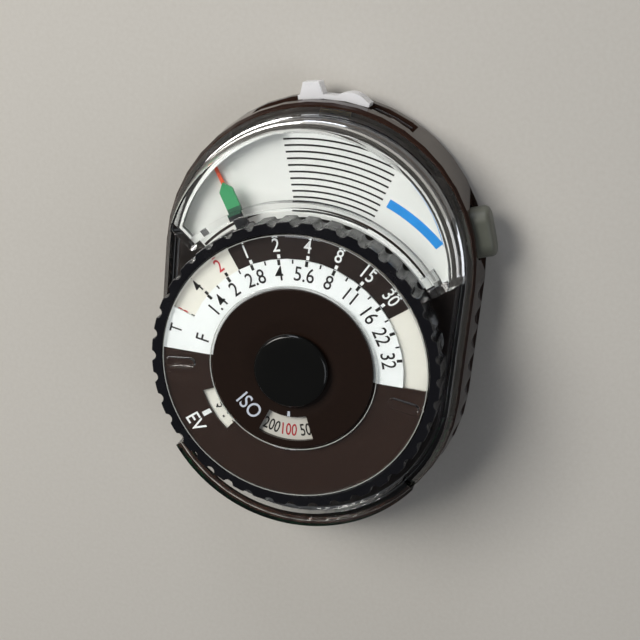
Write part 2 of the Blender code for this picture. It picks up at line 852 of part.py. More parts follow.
def window_body(name, inset, notch, turn_in, low, high):
    """The window's sloping body between its two ends, as a solid to join or to cut with."""
    brow_level = cover_low + brow_height
    base_inset = inset + shoulder_width + wall_step
    top_inset = inset + brow_inset + (window_top_inset - brow_inset) * (high - brow_level) / brow_rise
    layers = [(cover_outline(base_inset), low), (cover_outline(base_inset), cover_rim_top),
              (cover_outline(inset + brow_inset), brow_level), (cover_outline(top_inset), high)]
    body = stacked(name, layers)
    fan_low = fan_outline(notch, window_right_low + turn_in, window_left_low - turn_in)
    fan_high = fan_outline(notch, window_right_high + turn_in, window_left_high - turn_in)
    fan = [(fan_low, cover_low - overrun), (fan_low, cover_rim_top), (fan_high, window_top),
           (fan_high, window_top + overrun)]
    combine(body, stacked(name + "_fan", fan), "INTERSECT")
    return body


def make_cover():
    """The clear cover: a low rim with a lip at the lower end, and a raised window over the scale."""
    rim_layers = [(cover_outline(0), cover_low), (cover_outline(shoulder_width), cover_rim_top)]
    cover = stacked("clear_cover", rim_layers, finish_of("clear_cover", (0.9, 0.93, 0.92), 0.05, 0.0, 0.25))
    inner = stadium(rim_inner, -lower_centre_drop, cover_upper_centre)
    hollow = [(inner, cover_low - overrun, cover_rim_top + overrun)]
    combine(cover, prisms("rim_hollow_cut", hollow), "DIFFERENCE")
    rim_middle = (cover_low + cover_rim_top) / 2
    window = window_body("window_join", 0, notch_radius, 0, rim_middle, window_top)
    combine(cover, window, "UNION")
    turn_in = end_wall / base_radius
    ceiling = window_top - window_sheet
    hollow = window_body("window_hollow_cut", window_wall, notch_radius + notch_wall, turn_in,
                         frame_top, ceiling)
    combine(cover, hollow, "DIFFERENCE")
    lip = ring_sector(rim_inner, cover_half_width, lip_start, lip_end, (0, -lower_centre_drop))
    combine(cover, prisms("lip_join", [(lip, cover_low, cover_lip_top)]), "UNION")
    rebate = stadium(frame_half_width + fit, -lower_centre_drop, cover_upper_centre)
    rebate_piece = [(rebate, cover_low - overrun, frame_top + fit)]
    combine(cover, prisms("frame_rebate_cut", rebate_piece), "DIFFERENCE")
    gate_turn = turn_in + fit / base_radius
    gate = ring_sector(notch_radius - overrun, notch_radius + notch_wall + join_step,
                       window_right_low + gate_turn, window_left_low - gate_turn)
    combine(cover, prisms("scale_gate_cut", [(gate, cover_low - overrun, scale_top + fit)]), "DIFFERENCE")
    pass_start = needle_gate_start - notch_wall / notch_radius
    sweep = ring_sector(notch_radius - overrun, notch_radius + notch_wall + join_step, pass_start,
                        needle_gate_end)
    combine(cover, prisms("pointer_pass_cut", [(sweep, cover_low - overrun, ring_low)]), "DIFFERENCE")
    return cover


def make_scale_plate():
    """The pale plate that the needle swings over."""
    turn_in = end_wall / base_radius + scale_end_gap
    outline = cover_outline(scale_edge_inset)
    plate = prisms("scale_plate", [(outline, scale_low, scale_top)],
                   finish_of("scale_plate", (0.72, 0.76, 0.73), 0.35))
    fan = fan_outline(base_radius + scale_inner_gap, window_right_low + turn_in, window_left_low - turn_in)
    fan_piece = [(fan, scale_low - overrun, scale_top + overrun)]
    combine(plate, prisms("scale_fan_cut", fan_piece), "INTERSECT")
    return plate


def make_needle():
    """The orange needle with its hub and counterweight tail."""
    half = needle_width / 2
    tail_half = needle_tail_width / 2
    wall_reach = cover_half_width - shoulder_width - wall_step - window_wall
    needle_reach = reach_inside(needle_rest_angle, wall_reach, cover_upper_centre) - needle_tip_gap
    blade = box_outline(0, needle_reach, -half, half)
    needle = prisms("needle", [(turn_about(blade, needle_rest_angle), needle_low, needle_top)],
                    finish_of("needle", (0.87, 0.12, 0.04), 0.4))
    tail = box_outline(-needle_tail, 0, -tail_half, tail_half)
    tail_piece = [(turn_about(tail, needle_rest_angle), needle_low, needle_top)]
    combine(needle, prisms("needle_tail_join", tail_piece), "UNION")
    hub_low = needle_low - needle_thickness / 2
    hub = prisms("needle_hub_join", [(circle(needle_hub_radius, sides=24), hub_low, needle_top)])
    combine(needle, hub, "UNION")
    bore = [(circle(staff_radius + fit, sides=16), frame_top, base_low)]
    combine(needle, prisms("needle_bore_cut", bore), "DIFFERENCE")
    return needle


def make_movement():
    """The moving coil movement under the dial, on the same axis."""
    iron = finish_of("yoke_ring", (0.3, 0.3, 0.31), 0.4, 1.0)
    yoke = turned("yoke_ring", tube_profile(yoke_radius - yoke_wall, yoke_radius, yoke_low, yoke_top), iron)
    lug_middle = (core_low + core_top) / 2
    lug_low_level = lug_middle - yoke_lug_height / 2
    half = yoke_lug_width / 2
    near = core_radius + fit
    far = yoke_radius - yoke_wall / 2
    lugs = []
    for side in (1, -1):
        low_x = min(side * near, side * far)
        high_x = max(side * near, side * far)
        lugs.append((box_outline(low_x, high_x, -half, half), lug_low_level, lug_low_level + yoke_lug_height))
    combine(yoke, prisms("yoke_lug_join", lugs), "UNION")
    foot_holes = []
    for side in (1, -1):
        place = (side * bridge_centre_radius, 0)
        foot_holes.append((circle(bridge_screw_shank_radius + fit, place, 12),
                           yoke_top - overrun * 2, yoke_top + overrun))
    combine(yoke, prisms("yoke_tap_cut", foot_holes), "DIFFERENCE")
    turned("core_magnet", cylinder_profile(core_radius, core_low, core_top),
           finish_of("core_magnet", (0.18, 0.18, 0.19), 0.45, 1.0), sides=32)
    inner = core_radius + fit
    outer = inner + coil_band
    side = coil_width / 2
    frame = box_outline(-side, side, -outer, outer)
    turn = coil_centre_angle - math.pi / 2
    coil = prisms("moving_coil", [(turn_about(frame, turn), coil_low, coil_top)],
                  finish_of("moving_coil", (0.6, 0.25, 0.1), 0.4, 1.0))
    opening = box_outline(-side - overrun, side + overrun, -inner, inner)
    opening_piece = [(turn_about(opening, turn), coil_low + coil_band, coil_top - coil_band)]
    combine(coil, prisms("coil_opening_cut", opening_piece), "DIFFERENCE")
    steel = (0.65, 0.65, 0.66)
    turned("needle_staff", cylinder_profile(staff_radius, coil_top + fit, needle_top),
           finish_of("needle_staff", steel, 0.25, 1.0), sides=12)
    cup_top = case_floor + fit + bearing_height
    cup_inner = bearing_radius - bearing_wall
    cup = [(0, case_floor + fit), (bearing_radius, case_floor + fit), (bearing_radius, cup_top),
           (cup_inner, cup_top), (cup_inner, cup_top - bearing_height / 2), (0, cup_top - bearing_height / 2)]
    turned("lower_bearing", cup, finish_of("lower_bearing", (0.7, 0.5, 0.22), 0.3, 1.0), sides=24)
    pivot_low = cup_top - bearing_height / 2 + pivot_gap
    pivot = cylinder_profile(staff_radius, pivot_low, coil_low + coil_band / 2)
    combine(coil, turned("lower_pivot_join", pivot, sides=12), "UNION")
    make_bridge(steel)
    make_hairspring()


def make_bridge(steel):
    """The bridge over the coil, its two feet and its two screws."""
    half = bridge_width / 2
    reach = bridge_centre_radius + bridge_foot_radius
    bar = box_outline(-reach, reach, -half, half)
    bridge = prisms("top_bridge", [(bar, bridge_low, bridge_top)],
                    finish_of("top_bridge", (0.7, 0.5, 0.22), 0.3, 1.0))
    feet = []
    holes = []
    for side in (1, -1):
        place = (side * bridge_centre_radius, 0)
        feet.append((circle(bridge_foot_radius, place, 20), yoke_top + fit,
                     bridge_low + bridge_thickness / 2))
        holes.append((circle(bridge_screw_shank_radius + fit, place, 12), yoke_top, bridge_top + overrun))
    combine(bridge, prisms("bridge_foot_join", feet), "UNION")
    combine(bridge, prisms("bridge_screw_cut", holes), "DIFFERENCE")
    bore = [(circle(bridge_hole_radius, sides=20), bridge_low - overrun, bridge_top + overrun)]
    combine(bridge, prisms("bridge_bearing_cut", bore), "DIFFERENCE")
    for number, side in ((1, 1), (2, -1)):
        place = (side * bridge_centre_radius, 0)
        slotted_screw("bridge_screw_%d" % number, place, bridge_top + fit, bridge_screw_head_radius,
                      bridge_screw_head, bridge_screw_shank_radius, yoke_top - overrun, steel)


def make_hairspring():
    """A flat spiral that brings the needle back to rest."""
    mesh = bmesh.new()
    level = (coil_top + bridge_low) / 2 - hairspring_height / 2
    count = hairspring_turns * hairspring_steps
    rows = []
    for index in range(count + 1):
        share = index / count
        angle = TURN * hairspring_turns * share
        middle = hairspring_inner + (hairspring_outer - hairspring_inner) * share
        corners = ((middle - hairspring_width / 2, level), (middle + hairspring_width / 2, level),
                   (middle + hairspring_width / 2, level + hairspring_height),
                   (middle - hairspring_width / 2, level + hairspring_height))
        row = []
        for radius, height in corners:
            row.append(mesh.verts.new((radius * math.cos(angle), radius * math.sin(angle), height)))
        rows.append(row)
    mesh.faces.new(list(reversed(rows[0])))
    mesh.faces.new(rows[-1])
    for row, following in zip(rows, rows[1:]):
        for corner in range(4):
            other = (corner + 1) % 4
            mesh.faces.new((row[corner], row[other], following[other], following[corner]))
    store(mesh, "hairspring", finish_of("hairspring", (0.6, 0.5, 0.3), 0.3, 1.0))


def idler_layout():
    """Centres of the two idlers and the phase of each gear, so that all teeth mesh at rest."""
    near = first_idler_distance
    far = second_idler_distance
    between = 2 * idler_pitch
    spread = math.acos((near * near + far * far - between * between) / (2 * near * far))
    second_angle = first_idler_angle + spread
    first = (near * math.cos(first_idler_angle), near * math.sin(first_idler_angle))
    second = (far * math.cos(second_angle), far * math.sin(second_angle))
    heading = math.atan2(second[1] - first[1], second[0] - first[0])
    tooth = TURN / idler_teeth
    first_phase = first_idler_angle + math.pi + tooth / 2
    second_phase = heading + math.pi - (first_phase - heading) + tooth / 2
    ring_gap = second_angle + (second_phase - second_angle) * idler_teeth / pointer_teeth
    ring_phase = ring_gap + TURN / pointer_teeth / 2
    return ((first, first_phase), (second, second_phase)), ring_phase


def make_gears():
    """Sun gear on the dial, two idlers on their pins and the toothed ring of the green pointer."""
    addendum = gear_module * addendum_share
    dedendum = gear_module * dedendum_share
    brass = (0.75, 0.56, 0.25)
    outline = toothed_outline(sun_teeth, first_idler_angle, sun_pitch + addendum, sun_pitch - dedendum,
                              gear_tooth_shares)
    sun = prisms("sun_gear", [(outline, gear_low, gear_top)], finish_of("sun_gear", brass, 0.35, 1.0))
    hub = [(circle(hub_outer, sides=32), (gear_low + gear_top) / 2, seat_top)]
    combine(sun, prisms("sun_hub_join", hub), "UNION")
    bore = [(circle(hub_inner, sides=32), gear_low - overrun, seat_top + overrun)]
    combine(sun, prisms("sun_bore_cut", bore), "DIFFERENCE")
    idlers, ring_phase = idler_layout()
    for number, (place, phase) in enumerate(idlers, 1):
        outline = toothed_outline(idler_teeth, phase, idler_pitch + addendum, idler_pitch - dedendum,
                                  gear_tooth_shares)
        moved = [(x + place[0], y + place[1]) for x, y in outline]
        name = "idler_gear_%d" % number
        idler = prisms(name, [(moved, gear_low, gear_top)], finish_of(name, brass, 0.35, 1.0))
        bore = [(circle(idler_pin_radius + fit, place, 20), gear_low - overrun, gear_top + overrun)]
        combine(idler, prisms(name + "_bore_cut", bore), "DIFFERENCE")
        put_origin(idler, place[0], place[1], 0)
        name = "idler_pin_%d" % number
        turned(name, cylinder_profile(idler_pin_radius, base_low + fit / 2, gear_top),
               finish_of(name, (0.65, 0.65, 0.66), 0.25, 1.0), place, 20)
    make_pointer(addendum, dedendum, ring_phase)


def make_pointer(addendum, dedendum, phase):
    """The green pointer: an inner toothed ring with one arm that reaches into the window."""
    half = pointer_width / 2
    half_angle = math.asin(half / pointer_outer)
    start = pointer_rest_angle + half_angle
    outline = arc(pointer_outer, start, pointer_rest_angle - half_angle + TURN)
    arm = [(pointer_reach - pointer_point, -half), (pointer_reach, 0), (pointer_reach - pointer_point, half)]
    outline = outline + turn_about(arm, pointer_rest_angle)
    pointer = prisms("green_pointer", [(outline, gear_low, gear_top)],
                     finish_of("green_pointer", (0.09, 0.42, 0.19), 0.4))
    teeth = toothed_outline(pointer_teeth, phase, pointer_pitch - addendum, pointer_pitch + dedendum,
                            gear_tooth_shares)
    hole = [(teeth, gear_low - overrun, gear_top + overrun)]
    combine(pointer, prisms("pointer_teeth_cut", hole), "DIFFERENCE")


def make_dial_carrier():
    """The fixed disc under the dial, its spindle, guide rim and screws."""
    base = prisms("dial_carrier", [(circle(base_radius, sides=60), base_low, base_top)],
                  finish_of("dial_carrier", (0.03, 0.03, 0.032), 0.45))
    guide = ring_sector(guide_inner, guide_inner + guide_width, needle_gate_end, pointer_gate_start + TURN)
    guide_piece = [(guide, (base_low + base_top) / 2, base_top + guide_height)]
    combine(base, prisms("pointer_guide_join", guide_piece), "UNION")
    holes = [(circle(spindle_radius + fit, sides=24), base_low - overrun, base_top + overrun)]
    for idler in idler_layout()[0]:
        pin_hole = circle(idler_pin_radius + fit, idler[0], 20)
        holes.append((pin_hole, base_low - overrun, base_top + overrun))
    for angle in base_screw_angles:
        place = (screw_circle * math.cos(angle), screw_circle * math.sin(angle))
        screw_hole = circle(base_screw_shank_radius + fit, place, 16)
        holes.append((screw_hole, base_low - overrun, base_top + overrun))
    combine(base, prisms("carrier_hole_cut", holes), "DIFFERENCE")
    steel = (0.65, 0.65, 0.66)
    bore_low = spindle_top - cap_stem_length - fit
    spindle_low = base_low + fit / 2
    profile = [(0, spindle_low), (spindle_radius, spindle_low), (spindle_radius, spindle_top),
               (spindle_bore_radius, spindle_top), (spindle_bore_radius, bore_low), (0, bore_low)]
    turned("dial_spindle", profile, finish_of("dial_spindle", steel, 0.25, 1.0), sides=32)
    for number, angle in enumerate(base_screw_angles, 1):
        place = (screw_circle * math.cos(angle), screw_circle * math.sin(angle))
        slotted_screw("carrier_screw_%d" % number, place, base_top + fit, base_screw_head_radius,
                      base_screw_head, base_screw_shank_radius, frame_top + fit * 2, steel)


def ring_outline(inset):
    """Outline of the dial ring: blunt teeth for the fingers."""
    tip = ring_radius - inset
    return toothed_outline(ring_tooth_count, 0, tip, tip - ring_tooth_depth, ring_tooth_shares)


def make_dial_ring():
    """The toothed finger ring with its floor and the seat of the shutter time scale."""
    mesh = bmesh.new()
    layers = [(ring_outline(0), ring_low), (ring_outline(0), ring_top - ring_chamfer),
              (ring_outline(ring_chamfer), ring_top)]
    add_layers(mesh, layers)
    ring = store(mesh, "dial_ring", finish_of("dial_ring", (0.012, 0.012, 0.015), 0.3))
    floor = ring_low + ring_floor
    seat_radius = disc_radius + plate_edge_gap - ring_seat_width
    profile = [(0, floor), (seat_radius, floor), (seat_radius, seat_top),
               (disc_radius + plate_edge_gap, seat_top), (disc_radius + plate_edge_gap, ring_top + overrun),
               (0, ring_top + overrun)]
    combine(ring, turned("ring_hollow_cut", profile, sides=60), "DIFFERENCE")
    bore = [(circle(hub_outer + fit, sides=32), ring_low - overrun, floor + overrun)]
    combine(ring, prisms("ring_bore_cut", bore), "DIFFERENCE")
    return ring


def make_dial_discs():
    """Time scale, aperture plate, film speed scale, clear disc, inner disc and cap."""
    pale = (0.78, 0.8, 0.78)
    dark = (0.028, 0.013, 0.008)
    plate_radius = disc_radius - plate_edge_gap
    turned("time_scale", tube_profile(time_scale_inner, plate_radius, time_low, time_top),
           finish_of("time_scale", pale, 0.4), sides=60)
    profile = tube_profile(iso_scale_radius + plate_edge_gap, plate_radius, plate_low, plate_top)
    plate = turned("aperture_plate", profile,
                   finish_of("aperture_plate", pale, 0.4), sides=60)
    time_window = ring_sector(f_ring_outer, plate_radius + overrun, 0, time_window_end)
    opening = [(time_window, plate_low - overrun, plate_top + overrun)]
    combine(plate, prisms("time_window_cut", opening), "DIFFERENCE")
    ev_window = ring_sector(ev_window_inner, ev_window_outer, ev_window_start, ev_window_end)
    opening = [(ev_window, plate_low - overrun, plate_top + overrun)]
    combine(plate, prisms("ev_window_cut", opening), "DIFFERENCE")
    turned("film_speed_scale", tube_profile(spindle_radius + fit, iso_scale_radius, plate_low, plate_top),
           finish_of("film_speed_scale", pale, 0.4), sides=48)
    clear = turned("clear_disc", tube_profile(inner_disc_radius + fit, disc_radius, disc_low, disc_top),
                   finish_of("clear_disc", (0.9, 0.93, 0.92), 0.05, 0.0, 0.25), sides=60)
    tabs = []
    for angle in tab_angles:
        centre = (tab_centre_radius * math.cos(angle), tab_centre_radius * math.sin(angle))
        outline = turn_about(pill(tab_length, tab_width), angle, centre)
        tabs.append((outline, (disc_low + disc_top) / 2, disc_top + tab_height))
    combine(clear, prisms("finger_tab_join", tabs), "UNION")
    profile = tube_profile(cap_stem_radius + fit, inner_disc_radius, inner_disc_low, inner_disc_top)
    inner = turned("inner_disc", profile,
                   finish_of("inner_disc", dark, 0.35), sides=48)
    window = ring_sector(iso_window_inner, iso_window_outer, iso_window_start, iso_window_end)
    opening = [(window, inner_disc_low - overrun, inner_disc_top + overrun)]
    combine(inner, prisms("iso_window_cut", opening), "DIFFERENCE")
    profile = [(0, spindle_top - cap_stem_length), (cap_stem_radius, spindle_top - cap_stem_length),
               (cap_stem_radius, cap_low), (cap_radius, cap_low), (cap_radius, cap_top - cap_edge_round),
               (cap_radius - cap_edge_round, cap_top), (0, cap_top)]
    turned("centre_cap", profile, finish_of("centre_cap", (0.008, 0.008, 0.008), 0.12), sides=48)


def make_board():
    """The circuit board with its chip and trimmer, seated on the two lower screw posts."""
    radius = cavity_half_width - board_edge_gap
    start = math.asin((board_top_y - lower_centre_drop) / radius)
    outline = arc(radius, math.pi + start, TURN - start, (0, -lower_centre_drop))
    board = prisms("circuit_board", [(outline, board_low, board_top)],
                   finish_of("circuit_board", (0.02, 0.16, 0.06), 0.4))
    holes = []
    for x, y in screw_places()[2:]:
        holes.append((circle(boss_radius + fit, (x, y), 16), board_low - overrun, board_top + overrun))
    combine(board, prisms("board_hole_cut", holes), "DIFFERENCE")
    half = chip_length / 2
    low_y = -chip_y - chip_width / 2
    chip = box_outline(-chip_x - half, -chip_x + half, low_y, low_y + chip_width)
    chip_low = board_top + fit
    prisms("amplifier_chip", [(chip, chip_low, chip_low + chip_height)],
           finish_of("amplifier_chip", (0.02, 0.02, 0.02), 0.4))
    trimmer_top = chip_low + trimmer_height
    trimmer = turned("calibration_trimmer", cylinder_profile(trimmer_radius, chip_low, trimmer_top),
                     finish_of("calibration_trimmer", (0.1, 0.2, 0.5), 0.4), (trimmer_x, -trimmer_y), 24)
    slot = pill(trimmer_radius, trimmer_slot_width)
    slot = [(x + trimmer_x, y - trimmer_y) for x, y in slot]
    slot_low_level = chip_low + trimmer_height - trimmer_slot_depth
    opening = [(slot, slot_low_level, trimmer_top + overrun)]
    combine(trimmer, prisms("trimmer_slot_cut", opening), "DIFFERENCE")


def flange_far():
    """Distance of the button flange's outer face from the upper centre."""
    return case_half_width - button_flange_setback


def switch_plate_near():
    """Distance of the switch plate's inner face from the upper centre."""
    flange_near = flange_far() - button_flange_thickness
    return flange_near - fit - spring_length - fit - contact_thickness


def make_button():
    """The measuring button, its return spring and the switch plate behind it."""
    far = flange_far()
    near = far - button_flange_thickness
    face = case_half_width + button_proud
    small = button_edge_round * edge_round_share
    flange_length = button_length + 2 * button_flange
    flange_height = button_height + 2 * button_flange_rise
    steps = [(near, flange_length, flange_height), (far, flange_length, flange_height),
             (far, button_length, button_height),
             (face - button_edge_round, button_length, button_height),
             (face - small, button_length - 2 * small, button_height - 2 * small),
             (face, button_length - 2 * button_edge_round, button_height - 2 * button_edge_round)]
    side_pill("measuring_button", steps, finish_of("measuring_button", (0.14, 0.15, 0.12), 0.35))
    plate_near = switch_plate_near()
    plate_low_level = button_centre_z - switch_plate_height / 2
    local_box("switch_plate", plate_near, plate_near + contact_thickness, switch_plate_width,
              plate_low_level, plate_low_level + switch_plate_height,
              finish_of("switch_plate", (0.7, 0.5, 0.22), 0.3, 1.0))
    make_button_spring(plate_near + contact_thickness + fit)


def make_button_spring(start):
    """A small coil spring, wound along the button's direction."""
    count = spring_turns * spring_points
    points = []
    reach = spring_length - 2 * spring_wire
    for index in range(count + 1):
        angle = TURN * spring_turns * index / count
        distance = start + spring_wire + reach * index / count
        along = spring_radius * math.cos(angle)
        up = spring_radius * math.sin(angle)
        flat = turn_about([(distance, along)], button_angle, (0, case_upper_centre))[0]
        points.append((flat[0], flat[1], button_centre_z + up))
    curve = bpy.data.curves.new("button_spring", "CURVE")
    curve.dimensions = "3D"
    curve.bevel_depth = spring_wire
    curve.bevel_resolution = 1
    curve.use_fill_caps = True
    line = curve.splines.new("POLY")
    line.points.add(len(points) - 1)
    for point, place in zip(line.points, points):
        point.co = (*place, 1.0)
    spring = bpy.data.objects.new("button_spring", curve)
    curve.materials.append(finish_of("button_spring", (0.6, 0.6, 0.6), 0.3, 1.0))
    bpy.context.scene.collection.objects.link(spring)
    print("button spring gap", round((reach / spring_turns - 2 * spring_wire) / MM, 2), "mm")


def make_cell_and_slide():
    """The light cell, its lens in the slot and the sliding diffuser over them."""
    centre = (0, case_upper_centre)
    lens_inner = cavity_half_width + fit / 2
    lens = ring_sector(lens_inner, lens_inner + lens_thickness, lens_start, lens_end, centre)
    strip_low = slot_low + fit
    strip_high = slot_low + slot_height - fit
    prisms("cell_lens", [(lens, strip_low, strip_high)],
           finish_of("cell_lens", (0.85, 0.86, 0.88), 0.2, 0.0, 0.7))
    cell_outer = cavity_half_width - cell_setback
    cell = ring_sector(cell_outer - cell_thickness, cell_outer, lens_start, lens_end, centre)
    prisms("light_cell", [(cell, cell_low, cell_low + cell_height)],
           finish_of("light_cell", (0.03, 0.03, 0.07), 0.25))
    slide_outer = case_half_width + slide_proud
    slide_inner = slide_outer - slide_thickness
    strip = arc(slide_outer, slide_start, dome_start, centre)
    for index in range(1, dome_steps):
        share = index / dome_steps
        angle = dome_start + (dome_end - dome_start) * share
        radius = slide_outer + dome_proud * math.sin(math.pi * share)
        strip.append((radius * math.cos(angle), case_upper_centre + radius * math.sin(angle)))
    strip = strip + arc(slide_outer, dome_end, tab_start, centre)
    tab_radius = slide_outer + slide_tab_proud
    corner = (tab_end - tab_start) * tab_corner_share / 2
    strip = strip + arc(tab_radius, tab_start + corner, tab_end - corner, centre)
    strip = strip + arc(slide_outer, tab_end, slide_end, centre)
    strip = strip + arc(slide_inner, slide_end, slide_start, centre)
    slide = prisms("diffuser_slide", [(strip, strip_low, strip_high)],
                   finish_of("diffuser_slide", (0.88, 0.88, 0.9), 0.4))
    foot_outer = cavity_half_width - foot_setback
    stem = ring_sector(foot_outer - foot_thickness / 2, slide_inner + slide_thickness / 2,
                       foot_start, foot_end, centre)
    combine(slide, prisms("slide_stem_join", [(stem, strip_low + fit, strip_high - fit)]), "UNION")
    foot = ring_sector(foot_outer - foot_thickness, foot_outer, foot_start, foot_end, centre)
    foot_layer = [(foot, strip_low - foot_overlap, strip_high + foot_overlap)]
    combine(slide, prisms("slide_foot_join", foot_layer), "UNION")
    return slide


def make_case_screws():
    """Four screws from the back into the front frame."""
    for number, place in enumerate(screw_places(), 1):
        name = "case_screw_%d" % number
        screw = slotted_screw(name, place, screw_head_recess, screw_head_radius, screw_head_height,
                              screw_shank_radius, screw_head_recess + screw_length, (0.6, 0.6, 0.6))
        slot = box_outline(-screw_head_radius - overrun, screw_head_radius + overrun,
                           -screw_slot_width / 2, screw_slot_width / 2)
        moved = [(x + place[0], y + place[1]) for x, y in slot]
        tool = prisms(name + "_slot_cut", [(moved, 0, screw_head_recess + screw_slot_depth)])
        combine(screw, tool, "DIFFERENCE")


clear_scene()
make_rear_case()
make_case_screws()
battery_cover = make_battery_parts()
put_origin(battery_cover, 0, bay_centre_y, 0)
make_board()
make_movement()
make_front_frame()
make_scale_plate()
make_needle()
make_dial_carrier()
make_gears()
make_dial_ring()
make_dial_discs()
make_cover()
diffuser = make_cell_and_slide()
put_origin(diffuser, 0, case_upper_centre, 0)
make_button()
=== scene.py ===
# %% [markdown]
# # A pocket light meter with a calculator dial
#
# The meter lies on its flat back. Its dial turns about the Z axis, the window with the needle is
# the +Y end, and the measuring button is on the +X side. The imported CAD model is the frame: it
# gives every place and size, and this script adds the looks, one piece at a time.

# %% Load the frame
import math

import bmesh
import bpy
from mathutils import Matrix, Vector


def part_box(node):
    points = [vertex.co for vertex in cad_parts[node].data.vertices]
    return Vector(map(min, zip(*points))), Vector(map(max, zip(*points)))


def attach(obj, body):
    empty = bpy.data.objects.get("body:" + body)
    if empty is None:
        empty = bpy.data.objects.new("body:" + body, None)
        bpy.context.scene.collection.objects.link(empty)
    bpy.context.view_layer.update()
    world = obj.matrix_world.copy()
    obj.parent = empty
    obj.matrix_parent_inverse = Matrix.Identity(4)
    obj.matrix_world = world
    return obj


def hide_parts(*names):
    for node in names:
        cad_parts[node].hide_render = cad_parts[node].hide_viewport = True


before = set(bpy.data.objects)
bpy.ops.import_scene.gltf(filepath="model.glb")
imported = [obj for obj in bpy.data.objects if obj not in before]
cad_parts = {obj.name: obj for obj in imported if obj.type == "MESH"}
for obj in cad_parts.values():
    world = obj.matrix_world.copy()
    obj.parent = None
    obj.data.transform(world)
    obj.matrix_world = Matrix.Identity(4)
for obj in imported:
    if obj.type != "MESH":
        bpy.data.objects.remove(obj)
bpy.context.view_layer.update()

MM = 0.001

# %% [markdown]
# ## Camera
#
# The photograph looks down on the dial from the window end, about 21 degrees off the dial's axis
# and a little from the button side. The place and the three axes below were worked out from
# circles on the dial whose sizes are known, so the camera can be written down directly. A lens of
# 67.5 mm on a 36 mm sensor is the same thing as a focal length of 1200 pixels for 640 pixels.

# %% Camera
camera_place = Vector((34.87, 56.82, 167.3)) * MM
camera_right = Vector((0.96752, 0.09515, -0.23421))
camera_up = Vector((-0.15988, 0.94795, -0.27535))
camera_back = camera_right.cross(camera_up)

lens = bpy.data.cameras.new("photo_camera")
lens.sensor_width = 36
lens.lens = 36 * 1200 / 640
lens.clip_start = 0.01
camera = bpy.data.objects.new("photo_camera", lens)
bpy.context.scene.collection.objects.link(camera)
turn = Matrix((camera_right, camera_up, camera_back)).transposed()
camera.matrix_world = Matrix.Translation(camera_place) @ turn.to_4x4()
bpy.context.scene.camera = camera
print("camera distance in mm:", round(camera_place.length / MM, 1))

# %% [markdown]
# ## Colours and nodes
#
# Colours are written as the hex values that a paint program shows, and one function turns them to
# the linear values that the shader wants. A second small function adds any node with its settings
# and its links, and three more add what nearly every material needs: noise, a blend of two colours
# and a bump. Every material below then reads as a short recipe. A pattern's scale is the number of
# cells in a metre, so `per_mm` gives it from the real size of one cell.


# %% Colour and node helpers
def linear(code, alpha=1.0):
    """An sRGB hex code as linear red, green, blue and alpha."""
    shares = [int(code[place:place + 2], 16) / 255 for place in (0, 2, 4)]
    curved = [s / 12.92 if s <= 0.04045 else ((s + 0.055) / 1.055) ** 2.4 for s in shares]
    return (*curved, alpha)


def per_mm(size):
    """Pattern scale for Object coordinates, in metres, from the size of one cell in mm."""
    return 1 / (size * MM)


def add(tree, kind, sockets=(), **settings):
    """Add one node. Sockets map a name or number to a value, or to an output that feeds it."""
    node = tree.nodes.new(kind)
    for name, value in settings.items():
        setattr(node, name, value)
    for name, value in dict(sockets).items():
        if isinstance(value, bpy.types.NodeSocket):
            tree.links.new(value, node.inputs[name])
        else:
            node.inputs[name].default_value = value
    return node


def start_material(name):
    """A new material: its tree, its Principled shader, its output and the piece's own coordinates."""
    material = bpy.data.materials.new(name)
    material.use_nodes = True
    tree = material.node_tree
    spot = add(tree, "ShaderNodeTexCoord").outputs["Object"]
    return material, tree, tree.nodes["Principled BSDF"], tree.nodes["Material Output"], spot


def noise(tree, spot, size, detail):
    """Smooth noise between 0 and 1; size is that of one cell in mm."""
    sockets = {"Vector": spot, "Scale": per_mm(size), "Detail": detail}
    return add(tree, "ShaderNodeTexNoise", sockets).outputs["Fac"]


def blend(tree, share, first, second):
    """The first colour at share 0 and the second at 1; each is a hex code or an output."""
    first, second = (linear(tone) if isinstance(tone, str) else tone for tone in (first, second))
    return add(tree, "ShaderNodeMix", {0: share, 6: first, 7: second}, data_type="RGBA").outputs[2]


def emboss(tree, shader, height, strength, depth):
    """Bump a shader's surface by a height output; depth in mm."""
    bump = add(tree, "ShaderNodeBump", {"Height": height, "Strength": strength, "Distance": depth * MM})
    tree.links.new(bump.outputs["Normal"], shader.inputs["Normal"])


# %% [markdown]
# ## Floor, lights and surroundings
#
# A plain pale floor and soft light keep the eye on the object. In the photograph the light comes
# from the upper left and leaves a soft shadow at the lower right. Large area lights give such
# shadows, and they also draw the long highlights on the clear cover's rounded edges.

# %% Floor
floor_material, tree, shader, output, spot = start_material("matt_paper_sheet")
fibre = noise(tree, spot, 0.6, 3.0)
tree.links.new(blend(tree, fibre, "CFCBC4", "D8D5CF"), shader.inputs["Base Color"])
emboss(tree, shader, fibre, 0.2, 0.02)
shader.inputs["Roughness"].default_value = 0.85

mesh = bmesh.new()
bmesh.ops.create_grid(mesh, x_segments=1, y_segments=1, size=1.5)
bmesh.ops.translate(mesh, verts=mesh.verts, vec=(0, 0, -0.02 * MM))
data = bpy.data.meshes.new("floor")
mesh.to_mesh(data)
mesh.free()
data.materials.append(floor_material)
floor = bpy.data.objects.new("floor", data)
bpy.context.scene.collection.objects.link(floor)


# %% Lights
def area_light(name, place, size, power, colour):
    """A square soft light that shines at the middle of the meter."""
    light = bpy.data.lights.new(name, "AREA")
    light.size = size
    light.energy = power
    light.color = linear(colour)[:3]
    lamp = bpy.data.objects.new(name, light)
    bpy.context.scene.collection.objects.link(lamp)
    lamp.location = place
    lamp.rotation_mode = "QUATERNION"
    lamp.rotation_quaternion = (Vector(place) - Vector((0, 5 * MM, 5 * MM))).to_track_quat("Z", "Y")


